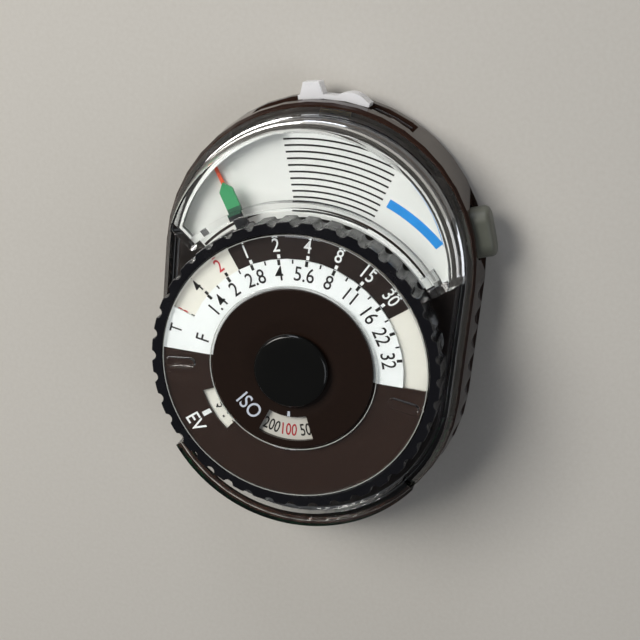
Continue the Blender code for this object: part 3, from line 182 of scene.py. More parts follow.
area_light("key_softbox", (-0.34, 0.22, 0.42), 0.30, 2.7, "FFFCF6")
area_light("fill_softbox", (0.45, -0.10, 0.40), 0.40, 0.6, "F4F8FF")
area_light("window_strip", (-0.10, 0.42, 0.16), 0.16, 0.28, "F2F6FF")

world = bpy.data.worlds.new("pale_room")
world.use_nodes = True
world.node_tree.nodes["Background"].inputs["Color"].default_value = linear("E6E9EE")
world.node_tree.nodes["Background"].inputs["Strength"].default_value = 0.08
bpy.context.scene.world = world
bpy.context.scene.view_settings.view_transform = "Standard"

# %% [markdown]
# ## Moulded plastics
#
# The case, the frame, the finger ring and the button are ABS, injection moulded in a polished or a
# finely sparked tool. The eye gets a clean highlight with a slightly uneven edge: the colour drifts
# a little over centimetres, fingers leave patches that are duller, and the tool leaves a fine
# grain. One recipe serves all of them, with the colour, the gloss and the grain changed.


# %% Recipe for moulded plastic
def moulded(name, colour, lighter, gloss, grain, depth):
    """ABS or similar: colour drift, finger-dulled patches and the tool's grain; sizes in mm."""
    material, tree, shader, output, spot = start_material(name)
    drift = noise(tree, spot, 11, 3.0)
    tree.links.new(blend(tree, drift, colour, lighter), shader.inputs["Base Color"])
    touched = noise(tree, spot, 4, 5.0)
    dulled = add(tree, "ShaderNodeMapRange", {"Value": touched, "From Min": 0.35, "From Max": 0.75,
                                              "To Min": gloss, "To Max": gloss + 0.12})
    tree.links.new(dulled.outputs["Result"], shader.inputs["Roughness"])
    emboss(tree, shader, noise(tree, spot, grain, 2.0), 0.5, depth)
    shader.inputs["IOR"].default_value = 1.53
    return material


polished_brown_abs = moulded("polished_brown_abs", "2A1A12", "33211A", 0.10, 2.5, 0.006)
sparked_dark_abs = moulded("sparked_dark_abs", "15100E", "1D1613", 0.30, 0.35, 0.012)
ring_black_abs = moulded("ring_black_abs", "0E0E12", "16161B", 0.20, 1.2, 0.010)
cap_black_abs = moulded("cap_black_abs", "0D0D0C", "141413", 0.10, 3.0, 0.004)
button_grey_abs = moulded("button_grey_abs", "5A5C53", "66685E", 0.38, 0.25, 0.012)

# %% [markdown]
# ## Opal white and painted plastics
#
# The diffuser slide is opal acrylic: light enters it and spreads, so its edges glow a little and no
# grain shows. The needle and the pointer are thin sheet, painted or moulded in signal colours, so
# that they can be told apart over the pale scale.


# %% Opal acrylic
opal_acrylic = moulded("opal_acrylic", "F1F1F6", "F8F8FC", 0.24, 3.0, 0.004)
opal_shader = opal_acrylic.node_tree.nodes["Principled BSDF"]
opal_shader.inputs["Subsurface Weight"].default_value = 0.35
opal_shader.inputs["Subsurface Radius"].default_value = (1.0, 1.0, 1.0)
opal_shader.inputs["Subsurface Scale"].default_value = 0.8 * MM
orange_enamel = moulded("orange_enamel", "E8532F", "F2603C", 0.32, 1.5, 0.004)
green_pointer_sheet = moulded("green_pointer_sheet", "348A58", "409A66", 0.34, 1.5, 0.004)
scale_satin_paint = moulded("scale_satin_paint", "DDDFDC", "E5E6E3", 0.32, 0.8, 0.004)
cell_dark_glass = moulded("cell_dark_glass", "15151F", "22222F", 0.12, 2.0, 0.002)
# Painted highlight: a pale grey for the thin threads on the clear disc's rims.
scuffed_edge = moulded("painted_rim_highlight", "A9ADA9", "C4C8C3", 0.20, 1.0, 0.02)
chip_epoxy = moulded("chip_epoxy", "161617", "202021", 0.45, 0.12, 0.01)
trimmer_blue_nylon = moulded("trimmer_blue_nylon", "1D3F86", "254A94", 0.35, 0.5, 0.01)

# %% Painted shade on the pointer's root, under the notch wall
tree = green_pointer_sheet.node_tree
shader = tree.nodes["Principled BSDF"]
tone = shader.inputs["Base Color"].links[0].from_socket
flat = add(tree, "ShaderNodeVectorMath", {0: tree.nodes["Texture Coordinate"].outputs["Object"],
                                          1: (1.0, 1.0, 0.0)}, operation="MULTIPLY")
reach = add(tree, "ShaderNodeVectorMath", {0: flat.outputs[0]}, operation="LENGTH")
# Painted shade: the root turns darker green inside 23.2 mm and near black inside 22.2 mm, where it
# passes under the notch wall into the gap.
for darker, radius in (("1C4F38", 23.2), ("101216", 22.2)):
    beyond = add(tree, "ShaderNodeMath", {0: reach.outputs["Value"], 1: radius * MM},
                 operation="GREATER_THAN")
    tone = blend(tree, beyond.outputs[0], darker, tone)
tree.links.new(tone, shader.inputs["Base Color"])

# %% [markdown]
# ## Printed plates
#
# The scales under the clear disc are thin plastic sheets, screen printed. Ink has a flat satin
# gloss, and its edge is sharp. The aperture plate is printed white on its upper half and dark brown
# on its lower half, with the border straight through the axis, so its colour comes from the sign of
# its own Y coordinate. Object coordinates turn with the plate, so the border stays on it.


# %% Screen printed sheets
def printed(name, colour, lighter, gloss=0.36):
    """One flat layer of screen ink, with the faint mottle of the mesh that laid it down."""
    material, tree, shader, output, spot = start_material(name)
    mottle = noise(tree, spot, 0.5, 4.0)
    tree.links.new(blend(tree, mottle, colour, lighter), shader.inputs["Base Color"])
    shader.inputs["Roughness"].default_value = gloss
    return material


white_ink = printed("white_screen_ink", "E4E8E8", "EEF1F1")
cool_white_ink = printed("cool_white_screen_ink", "D5DDEB", "DFE6F2")
dark_ink = printed("dark_brown_screen_ink", "1D120D", "231712")
black_ink = printed("black_screen_ink", "161412", "1E1B19")
red_ink = printed("red_screen_ink", "B93038", "C43B42")
blue_ink = printed("blue_screen_ink", "1F85D4", "2A90DE")
pale_sheet = printed("pale_printed_sheet", "DEDCD2", "E4E2D9")
inner_dark_sheet = printed("inner_dark_sheet", "1F140F", "261912", 0.26)

two_tone_plate = printed("two_tone_printed_plate", "E4E8E8", "EEF1F1")
tree = two_tone_plate.node_tree
shader = tree.nodes["Principled BSDF"]
white_half = shader.inputs["Base Color"].links[0].from_socket
sides = add(tree, "ShaderNodeSeparateXYZ", {0: tree.nodes["Texture Coordinate"].outputs["Object"]})
upper = add(tree, "ShaderNodeMath", {0: sides.outputs["Y"], 1: 0.0}, operation="GREATER_THAN")
tree.links.new(blend(tree, upper.outputs[0], "26160E", white_half), shader.inputs["Base Color"])

# %% [markdown]
# ## Clear acrylic
#
# The cover, the turning disc and the cell's lens are clear acrylic with an index of 1.49. It is
# polished, so it shows by its edges and its reflections. A real light shines through it, but a path
# tracer finds no light through two refracting faces, so shadow rays are told to go straight
# through: that is the usual trick, and it lights the scale below.

# %% Clear acrylic
clear_acrylic, tree, shader, output, spot = start_material("clear_acrylic")
shader.inputs["Base Color"].default_value = linear("FAFBFB")
shader.inputs["Transmission Weight"].default_value = 1.0
shader.inputs["IOR"].default_value = 1.49
handled = noise(tree, spot, 5, 4.0)
wiped = add(tree, "ShaderNodeMapRange", {"Value": handled, "From Min": 0.5, "From Max": 0.8,
                                         "To Min": 0.0, "To Max": 0.05})
tree.links.new(wiped.outputs["Result"], shader.inputs["Roughness"])
ray = add(tree, "ShaderNodeLightPath")
through = add(tree, "ShaderNodeBsdfTransparent", {"Color": linear("F4F5F5")})
either = add(tree, "ShaderNodeMixShader", {0: ray.outputs["Is Shadow Ray"], 1: shader.outputs["BSDF"],
                                           2: through.outputs["BSDF"]})
tree.links.new(either.outputs["Shader"], output.inputs["Surface"])

# %% [markdown]
# ## Metals
#
# Screws, spindles and springs are bright steel, the gears and contacts brass, the magnet yoke soft
# iron, and the coil is wound from enamelled copper wire. Metals keep the default index: their
# colour is their reflection. Turned and stamped parts carry fine streaks, drawn coarser here than
# they are, so that they show at all.


# %% Metals
def metal(name, colour, lighter, gloss, streak):
    """Turned or stamped metal with fine streaks along its own X; streak width in mm."""
    material, tree, shader, output, spot = start_material(name)
    drawn = add(tree, "ShaderNodeMapping", {"Vector": spot, "Scale": (0.12, 1.0, 1.0)})
    lines = noise(tree, drawn.outputs[0], streak, 3.0)
    tree.links.new(blend(tree, lines, colour, lighter), shader.inputs["Base Color"])
    worn = add(tree, "ShaderNodeMapRange", {"Value": lines, "To Min": gloss - 0.06,
                                            "To Max": gloss + 0.1})
    tree.links.new(worn.outputs["Result"], shader.inputs["Roughness"])
    shader.inputs["Metallic"].default_value = 1.0
    return material


bright_steel = metal("bright_turned_steel", "B9B9B7", "CFCFCD", 0.26, 0.12)
soft_iron = metal("pickled_soft_iron", "5C5C5E", "6C6C6E", 0.42, 0.2)
rolled_brass = metal("rolled_brass", "C9A558", "DBBA70", 0.28, 0.15)

copper_winding = metal("enamelled_copper_winding", "A8552B", "C06A3A", 0.3, 0.1)
tree = copper_winding.node_tree
wire = add(tree, "ShaderNodeTexWave", {"Vector": tree.nodes["Texture Coordinate"].outputs["Object"],
                                       "Scale": per_mm(1.6), "Distortion": 0.4},
           wave_type="BANDS", bands_direction="X")
emboss(tree, tree.nodes["Principled BSDF"], wire.outputs["Fac"], 0.6, 0.04)

# %% [markdown]
# ## Circuit board
#
# A board of glass fibre and epoxy under green solder mask. The copper tracks under the mask show as
# slightly lighter lines, which a grid of square cells draws at about the right spacing.

# %% Solder mask
solder_mask, tree, shader, output, spot = start_material("green_solder_mask")
tracks = add(tree, "ShaderNodeTexBrick", {"Vector": spot, "Color1": linear("12482A"),
                                          "Color2": linear("0F3F25"), "Mortar": linear("1F6A3D"),
                                          "Scale": per_mm(1.0), "Mortar Size": 0.12,
                                          "Brick Width": 3.2, "Row Height": 1.4})
tree.links.new(tracks.outputs["Color"], shader.inputs["Base Color"])
emboss(tree, shader, tracks.outputs["Fac"], 0.3, 0.03)
shader.inputs["Roughness"].default_value = 0.28

# %% [markdown]
# ## Finishes for the CAD pieces that stay
#
# Many CAD nodes already have the right shape. Each gets the finish of what it is made of, in its
# first material slot, and its mesh stays as it came.

# %% Finish the carried-over nodes
finishes = {
    sparked_dark_abs: ["dial_carrier"],
    scale_satin_paint: ["scale_plate"],
    orange_enamel: ["needle"],
    clear_acrylic: ["cell_lens"],
    bright_steel: ["battery", "needle_staff", "dial_spindle", "idler_pin_1", "idler_pin_2",
                   "button_spring", "switch_plate", "hairspring", "bridge_screw_1", "bridge_screw_2",
                   "carrier_screw_1", "carrier_screw_2", "carrier_screw_3", "case_screw_1",
                   "case_screw_2", "case_screw_3", "case_screw_4"],
    soft_iron: ["yoke_ring", "core_magnet"],
    rolled_brass: ["sun_gear", "idler_gear_1", "idler_gear_2", "battery_contact_top",
                   "battery_contact_side", "lower_bearing", "top_bridge"],
    copper_winding: ["moving_coil"],
    solder_mask: ["circuit_board"],
    chip_epoxy: ["amplifier_chip"],
    trimmer_blue_nylon: ["calibration_trimmer"],
    cell_dark_glass: ["light_cell"],
    pale_sheet: ["time_scale", "film_speed_scale"],
    two_tone_plate: ["aperture_plate"],
    green_pointer_sheet: ["green_pointer"],
    opal_acrylic: ["diffuser_slide"],
}
for finish, names in finishes.items():
    for name in names:
        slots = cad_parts[name].data.materials
        slots.clear()
        slots.append(finish)
print("carried-over nodes with a finish:", sum(len(names) for names in finishes.values()))

# %% [markdown]
# ## Softened copies
#
# A moulded part has no knife edges. Where a CAD node has the right form but sharp corners, a copy
# is merged, its flat faces are joined, and its sharp edges get a small round, which catches a thin
# highlight. Weighted normals keep the flat faces flat beside the rounds.


# %% Helpers that finish a piece
def place_piece(mesh, name, body, material, smooth=38):
    """Turn a bmesh into an object that rides on a body; smooth is the sharp-edge angle in degrees."""
    bmesh.ops.remove_doubles(mesh, verts=mesh.verts, dist=0.0005 * MM)
    bmesh.ops.recalc_face_normals(mesh, faces=mesh.faces)
    data = bpy.data.meshes.new(name)
    mesh.to_mesh(data)
    mesh.free()
    data.materials.append(material)
    data.shade_smooth()
    data.set_sharp_from_angle(angle=math.radians(smooth))
    piece = bpy.data.objects.new(name, data)
    bpy.context.scene.collection.objects.link(piece)
    weigh = piece.modifiers.new("flat_faces_first", "WEIGHTED_NORMAL")
    weigh.keep_sharp = True
    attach(piece, body)
    return piece


def round_edges(mesh, width, sharp=32, segments=2, chosen=None):
    """Bevel the edges that are sharper than an angle in degrees; width in mm."""
    edges = [edge for edge in mesh.edges if len(edge.link_faces) == 2
             and edge.calc_face_angle(0) > math.radians(sharp) and (chosen is None or chosen(edge))]
    bmesh.ops.bevel(mesh, geom=edges, offset=width * MM, offset_type="OFFSET", segments=segments,
                    profile=0.5, affect="EDGES", clamp_overlap=True, material=-1)


def softened(node, body, material, width):
    """A merged copy of a CAD node with small rounds on its sharp edges."""
    mesh = bmesh.new()
    mesh.from_mesh(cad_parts[node].data)
    bmesh.ops.remove_doubles(mesh, verts=mesh.verts, dist=0.002 * MM)
    bmesh.ops.dissolve_limit(mesh, angle_limit=math.radians(0.6), verts=mesh.verts, edges=mesh.edges)
    round_edges(mesh, width)
    bmesh.ops.triangulate(mesh, faces=[face for face in mesh.faces if len(face.verts) > 4])
    piece = place_piece(mesh, node + "_moulding", body, material)
    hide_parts(node)
    print(piece.name, "has", len(piece.data.polygons), "faces")


# %% Case, frame, button and battery cover
softened("rear_case", "case", polished_brown_abs, 0.12)
softened("front_frame", "case", sparked_dark_abs, 0.10)
softened("measuring_button", "button", button_grey_abs, 0.15)
softened("battery_cover", "battery_door", polished_brown_abs, 0.12)

# %% [markdown]
# ## Drawing outlines
#
# Most parts of the meter are flat shapes made of arcs about a few centres. The pen below starts
# with one vertex; a straight stroke extrudes it and an arc spins it, so the outline's edges come
# from Blender's own operators. The closed outline becomes a face, and the face is lifted to a solid.


# %% The pen
class Pen:
    """Draws one closed outline at a level, then lifts it to a solid; places in mm, angles in degrees."""

    def __init__(self, x, y, low):
        self.mesh = bmesh.new()
        self.tip = self.mesh.verts.new((x * MM, y * MM, low * MM))

    def to(self, x, y):
        self.tip = bmesh.ops.extrude_vert_indiv(self.mesh, verts=[self.tip])["verts"][0]
        self.tip.co.xy = (x * MM, y * MM)
        return self

    def round(self, x, y, angle, steps):
        made = bmesh.ops.spin(self.mesh, geom=[self.tip], cent=(x * MM, y * MM, self.tip.co.z),
                              axis=(0, 0, 1), angle=math.radians(angle), steps=steps)
        self.tip = next(item for item in made["geom_last"] if isinstance(item, bmesh.types.BMVert))
        return self

    def lift(self, height, reshape=None):
        first = not self.mesh.faces
        if first:
            bmesh.ops.remove_doubles(self.mesh, verts=self.mesh.verts, dist=0.001 * MM)
            bmesh.ops.contextual_create(self.mesh, geom=self.mesh.edges[:])
            self.top = self.mesh.faces[:]
        raised = bmesh.ops.extrude_face_region(self.mesh, geom=self.top)["geom"]
        if not first:
            bmesh.ops.delete(self.mesh, geom=self.top, context="FACES_ONLY")
        self.top = [item for item in raised if isinstance(item, bmesh.types.BMFace)]
        for corner in [item for item in raised if isinstance(item, bmesh.types.BMVert)]:
            corner.co.z += height * MM
            if reshape:
                corner.co.xy = reshape(corner.co)
        bmesh.ops.recalc_face_normals(self.mesh, faces=self.mesh.faces)
        return self.mesh


def polar(radius, angle):
    """X and Y of a point given by its radius and its angle in degrees."""
    return radius * math.cos(math.radians(angle)), radius * math.sin(math.radians(angle))


def sector(inner, outer, start, end, low, high, steps=12, centre=(0, 0)):
    """A flat piece of a ring, lifted to a solid."""
    near, far = polar(inner, start), polar(outer, start)
    back = polar(inner, end)
    pen = Pen(centre[0] + near[0], centre[1] + near[1], low).to(centre[0] + far[0], centre[1] + far[1])
    pen.round(*centre, end - start, steps).to(centre[0] + back[0], centre[1] + back[1])
    return pen.round(*centre, start - end, steps).lift(high - low)


def turned(profile, steps=96):
    """A closed profile of radius and height pairs in mm, spun once round the dial's axis."""
    mesh = bmesh.new()
    corners = [mesh.verts.new((radius * MM, 0, height * MM)) for radius, height in profile]
    edges = [mesh.edges.new(pair) for pair in zip(corners, corners[1:])]
    if profile[0][0] or profile[-1][0]:
        edges.append(mesh.edges.new((corners[-1], corners[0])))
    bmesh.ops.spin(mesh, geom=corners + edges, cent=(0, 0, 0), axis=(0, 0, 1), angle=math.tau,
                   steps=steps, use_merge=True)
    bmesh.ops.remove_doubles(mesh, verts=mesh.verts, dist=0.0005 * MM)
    bmesh.ops.recalc_face_normals(mesh, faces=mesh.faces)
    return mesh


def joined(first, second, operation):
    """Two bmesh solids combined by the exact Boolean: UNION, DIFFERENCE or INTERSECT."""
    objects = []
    for mesh in (first, second):
        data = bpy.data.meshes.new("working")
        mesh.to_mesh(data)
        mesh.free()
        working = bpy.data.objects.new("working", data)
        bpy.context.scene.collection.objects.link(working)
        objects.append(working)
    change = objects[0].modifiers.new("change", "BOOLEAN")
    change.object = objects[1]
    change.operation = operation
    change.solver = "EXACT"
    evaluated = objects[0].evaluated_get(bpy.context.evaluated_depsgraph_get())
    result = bmesh.new()
    result.from_mesh(evaluated.to_mesh())
    for working in objects:
        bpy.data.objects.remove(working)
    bmesh.ops.remove_doubles(result, verts=result.verts, dist=0.0005 * MM)
    bmesh.ops.dissolve_limit(result, angle_limit=math.radians(0.3), verts=result.verts,
                             edges=result.edges)
    return result


# %% [markdown]
# ## The clear cover
#
# One acrylic moulding covers the front: a low rim with a sloping shoulder, a lip at the lower end,
# and a raised window over the scale. The window's walls lean inwards, so that the moulding leaves
# its tool, and its near edge follows the finger ring. The walls are lifted in stages: at each
# stage the outline is drawn in a little. Bodies are cut and joined, then the edges are rounded.

# %% Sizes read from the frame, and the window's two ends in degrees
cover_low, cover_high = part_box("clear_cover")
cover_half = cover_high.x / MM
lower_centre = cover_low.y / MM + cover_half
upper_centre = cover_high.y / MM - cover_half
cover_floor = cover_low.z / MM
window_top = cover_high.z / MM
ring_low, ring_high = (corner.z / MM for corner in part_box("dial_ring"))
ring_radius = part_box("dial_ring")[1].x / MM
frame_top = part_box("scale_plate")[0].z / MM - 0.3
rim_top, lip_top, brow = cover_floor + 1.2, cover_floor + 2.8, cover_floor + 5.1
window_start, window_span = 33.0, 112.4
top_start, top_span = 35.4, 103.6
window_end = window_start + window_span
overrun, far_out = 1, 90
print("cover half width, centres, floor and top in mm:",
      [round(value, 2) for value in (cover_half, lower_centre, upper_centre, cover_floor, window_top)])


# %% Sloping bodies
def drawn_in(place, inset):
    """A point on the cover's outline, moved towards the outline's middle line; inset in mm."""
    middle = Vector((0, min(max(place.y, lower_centre * MM), upper_centre * MM)))
    return place.xy - (place.xy - middle).normalized() * inset * MM


def sloping(*stages):
    """The cover's outline lifted from level to level; each stage is its inset and its level."""
    inset, level = stages[0]
    half = cover_half - inset
    pen = Pen(half, upper_centre, level).round(0, upper_centre, 180, 48).to(-half, lower_centre)
    pen.round(0, lower_centre, 180, 48)
    for (near, low), (far, high) in zip(stages, stages[1:]):
        pen.lift(high - low, lambda place, change=far - near: drawn_in(place, change))
    return pen.mesh


def swung(place, turn_in):
    """The window's ends lean: a ray's angle near the rim becomes its angle at the window's top."""
    angle = math.degrees(math.atan2(place.y, place.x))
    share = (angle - window_start - turn_in) / (window_span - 2 * turn_in)
    return Vector(polar(place.xy.length, top_start + turn_in + (top_span - 2 * turn_in) * share))


def fan(notch, turn_in):
    """Everything beyond the ring's notch, between the window's two ends."""
    pen = Pen(*polar(notch, window_end - turn_in), cover_floor - overrun)
    pen.round(0, 0, 2 * turn_in - window_span, 60).to(*polar(far_out, window_start + turn_in))
    pen.to(*polar(far_out, window_end - turn_in)).lift(rim_top - cover_floor + overrun)
    pen.lift(window_top - rim_top, lambda place: swung(place, turn_in))
    return pen.lift(overrun)


# %% Clear cover
notch_radius, notch_wall, end_turn = ring_radius + 1.15, 1.0, math.degrees(1.0 / 19.4)
rim_width, brow_inset = 2.1, 2.4
opening = sloping((rim_width, cover_floor - overrun), (rim_width, rim_top + overrun))
cover = joined(sloping((0, cover_floor), (0.9, rim_top)), opening, "DIFFERENCE")
window = sloping((1.0, rim_top - 0.6), (1.0, rim_top), (1.8, brow), (brow_inset, window_top))
cover = joined(cover, joined(window, fan(notch_radius, 0), "INTERSECT"), "UNION")
ceiling = window_top - 1.2
hollow = sloping((1.9, frame_top), (1.9, rim_top), (2.35, brow), (2.55, ceiling))
hollow = joined(hollow, fan(notch_radius + notch_wall, end_turn), "INTERSECT")
cover = joined(cover, hollow, "DIFFERENCE")
lip = sector(cover_half - 2.05, cover_half - 0.05, 216, 324, cover_floor + 0.05, lip_top, 48,
             (0, lower_centre))
cover = joined(cover, lip, "UNION")
cover = joined(cover, sloping((1.4, cover_floor - overrun), (1.4, frame_top + 0.3)), "DIFFERENCE")
post, cut_low = end_turn + 0.9, cover_floor - overrun
gate = sector(notch_radius - overrun, notch_radius + notch_wall + 0.1, window_start + post,
              window_end - post, cut_low, 9.0, 48)
cover = joined(cover, gate, "DIFFERENCE")
sweep = sector(notch_radius - overrun, notch_radius + notch_wall + 0.1, 42.4, 134, cut_low, ring_low, 30)
cover = joined(cover, sweep, "DIFFERENCE")


def on_window_brow(edge):
    """True for the window's top edge along the outer outline."""
    middle = (edge.verts[0].co + edge.verts[1].co) / 2 / MM
    out = math.hypot(middle.x, middle.y - min(max(middle.y, lower_centre), upper_centre))
    return middle.z > window_top - 0.01 and abs(out - cover_half + brow_inset) < 0.1


round_edges(cover, 0.4, segments=4, chosen=on_window_brow)
bmesh.ops.remove_doubles(cover, verts=cover.verts, dist=0.03 * MM)
round_edges(cover, 0.10, sharp=50)
cover = place_piece(cover, "clear_cover_moulding", "case", clear_acrylic)
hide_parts("clear_cover")
print("clear cover faces:", len(cover.data.polygons))

# %% [markdown]
# ## The pale tray round the scale
#
# Inside the window the scale plate has thin pale side walls, which lean inwards with the clear
# walls and hide the dark frame. They could be drawn up from one pale sheet. Here they are a smaller
# body in the cover's own shape, hollowed by one about 0.4 mm smaller still, which leaves thin
# walls. The top middle stays open, where the photograph shows a recess.

# %% Pale tray
tray_top = rim_top + 1.4
tray = joined(sloping((2.1, frame_top + 0.35), (2.1, rim_top), (2.5, tray_top)),
              fan(notch_radius + notch_wall + 0.3, end_turn + 0.5), "INTERSECT")
scoop = joined(sloping((2.52, frame_top), (2.52, rim_top), (2.85, tray_top), (2.9, tray_top + 1)),
               fan(notch_radius - 2, end_turn + 1.6), "INTERSECT")
tray = joined(tray, scoop, "DIFFERENCE")
recess = sector(10, 40, 68.0, 101.5, frame_top, window_top, 12)
tray = joined(tray, recess, "DIFFERENCE")
tray = place_piece(tray, "pale_tray", "case", scale_satin_paint)
print("pale tray faces:", len(tray.data.polygons))

# %% [markdown]
# ## The finger ring
#
# The ring has forty wide flat teeth with half-round valleys between them, so that a thumb can turn
# it. The pen walks round once: an arc about the axis for each tooth, and a small arc that turns the
# other way for each valley. The hollow that holds the scales is spun and cut out.

# %% Finger ring
tooth_count, valley_half, valley_depth = 40, 0.72, 0.56
seat_width, disc_slack, bore_radius = 0.55, 0.15, 3.5
pitch = 360 / tooth_count
valley_angle = 2 * math.degrees(math.asin(valley_half / ring_radius))
valley_round = (valley_half ** 2 + valley_depth ** 2) / (2 * valley_depth)
valley_bend = 2 * math.degrees(math.asin(min(1, valley_half / valley_round)))
centre_radius = math.sqrt(ring_radius ** 2 - valley_half ** 2) + valley_round - valley_depth
tooth_angle = pitch - valley_angle
pen = Pen(*polar(ring_radius, -tooth_angle / 2), ring_low)
for index in range(tooth_count):
    pen.round(0, 0, tooth_angle, 3)
    pen.round(*polar(centre_radius, pitch * (index + 0.5)), -valley_bend, 6)
ring = pen.lift(ring_high - ring_low)
seat_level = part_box("time_scale")[0].z / MM - 0.15
disc_radius = ring_radius - 1.7
floor_level = ring_low + 0.7
well, wall = disc_radius - seat_width, disc_radius + disc_slack
hollow = turned([(0, floor_level), (well, floor_level), (well, seat_level), (wall, seat_level),
                 (wall, ring_high + overrun), (0, ring_high + overrun)])
ring = joined(ring, hollow, "DIFFERENCE")
bore_low, bore_high = ring_low - overrun, floor_level + overrun
bore = turned([(0, bore_low), (bore_radius, bore_low), (bore_radius, bore_high), (0, bore_high)], 48)
ring = joined(ring, bore, "DIFFERENCE")
round_edges(ring, 0.16, sharp=50)
ring = place_piece(ring, "finger_ring", "dial", ring_black_abs)
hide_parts("dial_ring")
print("finger ring faces:", len(ring.data.polygons))

# %% [markdown]
# ## The clear disc with its finger tabs
#
# A thin clear disc lies over the printed scales and turns the aperture plate. Two raised pills give
# the fingertip a hold. The disc is spun, the pills are drawn by the pen, and all edges are rounded
# so that they light up.

# %% Clear disc
disc_low, disc_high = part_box("clear_disc")
disc_low, tab_top = disc_low.z / MM, disc_high.z / MM
disc_top = tab_top - 0.7
inner_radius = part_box("inner_disc")[1].x / MM
disc = turned([(inner_radius + 0.3, disc_low), (disc_radius, disc_low), (disc_radius, disc_top - 0.3),
               (disc_radius - 0.3, disc_top), (inner_radius + 0.5, disc_top),
               (inner_radius + 0.3, disc_top - 0.2)])
tab_inset, tab_half_length, tab_half_width, tab_root = 2.75, 1.45, 0.75, 0.2
for angle in (185.9, 351.5):
    x, y = polar(disc_radius - tab_inset, angle)
    along, across = polar(tab_half_length, angle), polar(tab_half_width, angle + 90)
    pen = Pen(x + along[0] + across[0], y + along[1] + across[1], disc_top - tab_root)
    pen.to(x - along[0] + across[0], y - along[1] + across[1]).round(x - along[0], y - along[1], 180, 10)
    pen.to(x + along[0] - across[0], y + along[1] - across[1]).round(x + along[0], y + along[1], 180, 10)
    disc = joined(disc, pen.lift(tab_top - disc_top + tab_root), "UNION")
round_edges(disc, 0.12, sharp=50)
disc = place_piece(disc, "clear_disc_moulding", "speed_setting", clear_acrylic)
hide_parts("clear_disc")
print("clear disc faces:", len(disc.data.polygons))

# %% [markdown]
# Each of the disc's two rims carries a thin pale thread, a tenth of a millimetre wide. It is a painted
# highlight: it stands in for the light that the clear edges catch.

# %% Painted rim highlights
# Painted highlight: a pale band 0.1 mm wide, set just under the disc's top near each rim.
for name, radius in (("disc_outer_rim", disc_radius - 0.14), ("disc_inner_rim", inner_radius + 0.36)):
    thread = turned([(radius, disc_top - 0.25), (radius + 0.1, disc_top - 0.25),
                     (radius + 0.1, disc_top - 0.13), (radius, disc_top - 0.13)])
    place_piece(thread, name, "speed_setting", scuffed_edge)

# %% [markdown]
# ## Inner disc and cap
#
# The dark inner disc stays still while the rest turns. It is dished very slightly round the cap,
# which is what bends its reflections. The cap is a low black button with a thin chamfer.

# %% Inner disc
inner_low, inner_high = (corner.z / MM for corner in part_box("inner_disc"))
disc = turned([(1.0, inner_low), (inner_radius, inner_low), (inner_radius, inner_high - 0.14),
               (inner_radius - 0.04, inner_high - 0.04), (inner_radius - 0.16, inner_high),
               (8.0, inner_high), (7.2, inner_high - 0.02), (6.6, inner_high - 0.07),
               (5.9, inner_high - 0.16), (5.3, inner_high - 0.2), (1.0, inner_high - 0.2)])
window = sector(6.9, 10.4, 247.5, 292.5, inner_low - overrun, inner_high + overrun, 24)
disc = joined(disc, window, "DIFFERENCE")
inner = place_piece(disc, "inner_disc_moulding", "case", inner_dark_sheet, 30)
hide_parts("inner_disc")

# %% Cap
cap_low, cap_high = (corner.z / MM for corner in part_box("centre_cap"))
cap_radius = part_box("centre_cap")[1].x / MM
rest = cap_high - 0.8
cap = turned([(0, cap_low), (0.7, cap_low), (0.7, rest), (cap_radius - 0.05, rest),
              (cap_radius, rest + 0.05), (cap_radius, cap_high - 0.34),
              (cap_radius - 0.05, cap_high - 0.26), (cap_radius - 0.26, cap_high - 0.05),
              (cap_radius - 0.36, cap_high - 0.02), (cap_radius * 0.7, cap_high), (0, cap_high)])
cap = place_piece(cap, "cap_moulding", "case", cap_black_abs)
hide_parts("centre_cap")

# %% [markdown]
# ## Printed numbers and marks
#
# Numbers are text turned to mesh, two hundredths of a millimetre thick, laid on the sheet that
# carries them, so that they turn with it. All the numbers of one scale in one colour are one piece.
# The font is Blender's own, drawn narrower, which is close to the plain condensed figures of such
# dials. Ticks, arcs and bars are thin ring sectors. One stop of exposure is 14.7 degrees on the
# dial, and a film speed is 15.65 degrees from the next.

# %% Ink helpers
ink_depth = 0.02
ink_gap = 0.004


def lettering(name, body, material, level, labels, height, width_share=0.84, tops_out=True,
              room=9):
    """Labels as one mesh; each is words, radius, angle. A label wider than its room is squeezed."""
    mesh = bmesh.new()
    for words, radius, angle in labels:
        curve = bpy.data.curves.new("words", "FONT")
        curve.body = words
        curve.align_x = "CENTER"
        curve.align_y = "CENTER"
        curve.extrude = 0.5
        curve.offset = 0.006
        curve.resolution_u = 5
        text = bpy.data.objects.new("words", curve)
        data = bpy.data.meshes.new_from_object(text)
        bpy.data.objects.remove(text)
        tall = height / 0.7 * MM
        across = [corner.co.x for corner in data.vertices]
        wide = tall * min(width_share, room * MM / tall / (max(across) - min(across)))
        x, y = polar(radius * MM, angle)
        heading = math.radians(angle - 90 if tops_out else angle + 90)
        data.transform(Matrix.Translation((x, y, (level + ink_gap + ink_depth / 2) * MM))
                       @ Matrix.Rotation(heading, 4, "Z")
                       @ Matrix.Diagonal((wide, tall, ink_depth * MM, 1)))
        mesh.from_mesh(data)
    return place_piece(mesh, name, body, material)


def ink_sectors(name, body, material, level, parts, steps=4):
    """Ticks, arcs and bars as thin ring sectors; each part is inner, outer, start, end."""
    mesh = bmesh.new()
    for inner, outer, start, end in parts:
        one = sector(inner, outer, start, end, level + ink_gap, level + ink_gap + ink_depth, steps)
        data = bpy.data.meshes.new("mark")
        one.to_mesh(data)
        one.free()
        mesh.from_mesh(data)
    return place_piece(mesh, name, body, material)


def tick(angle, inner, outer, width):
    """A tick at an angle, as a sector; width in mm."""
    half = math.degrees(width / 2 / outer)
    return inner, outer, angle - half, angle + half


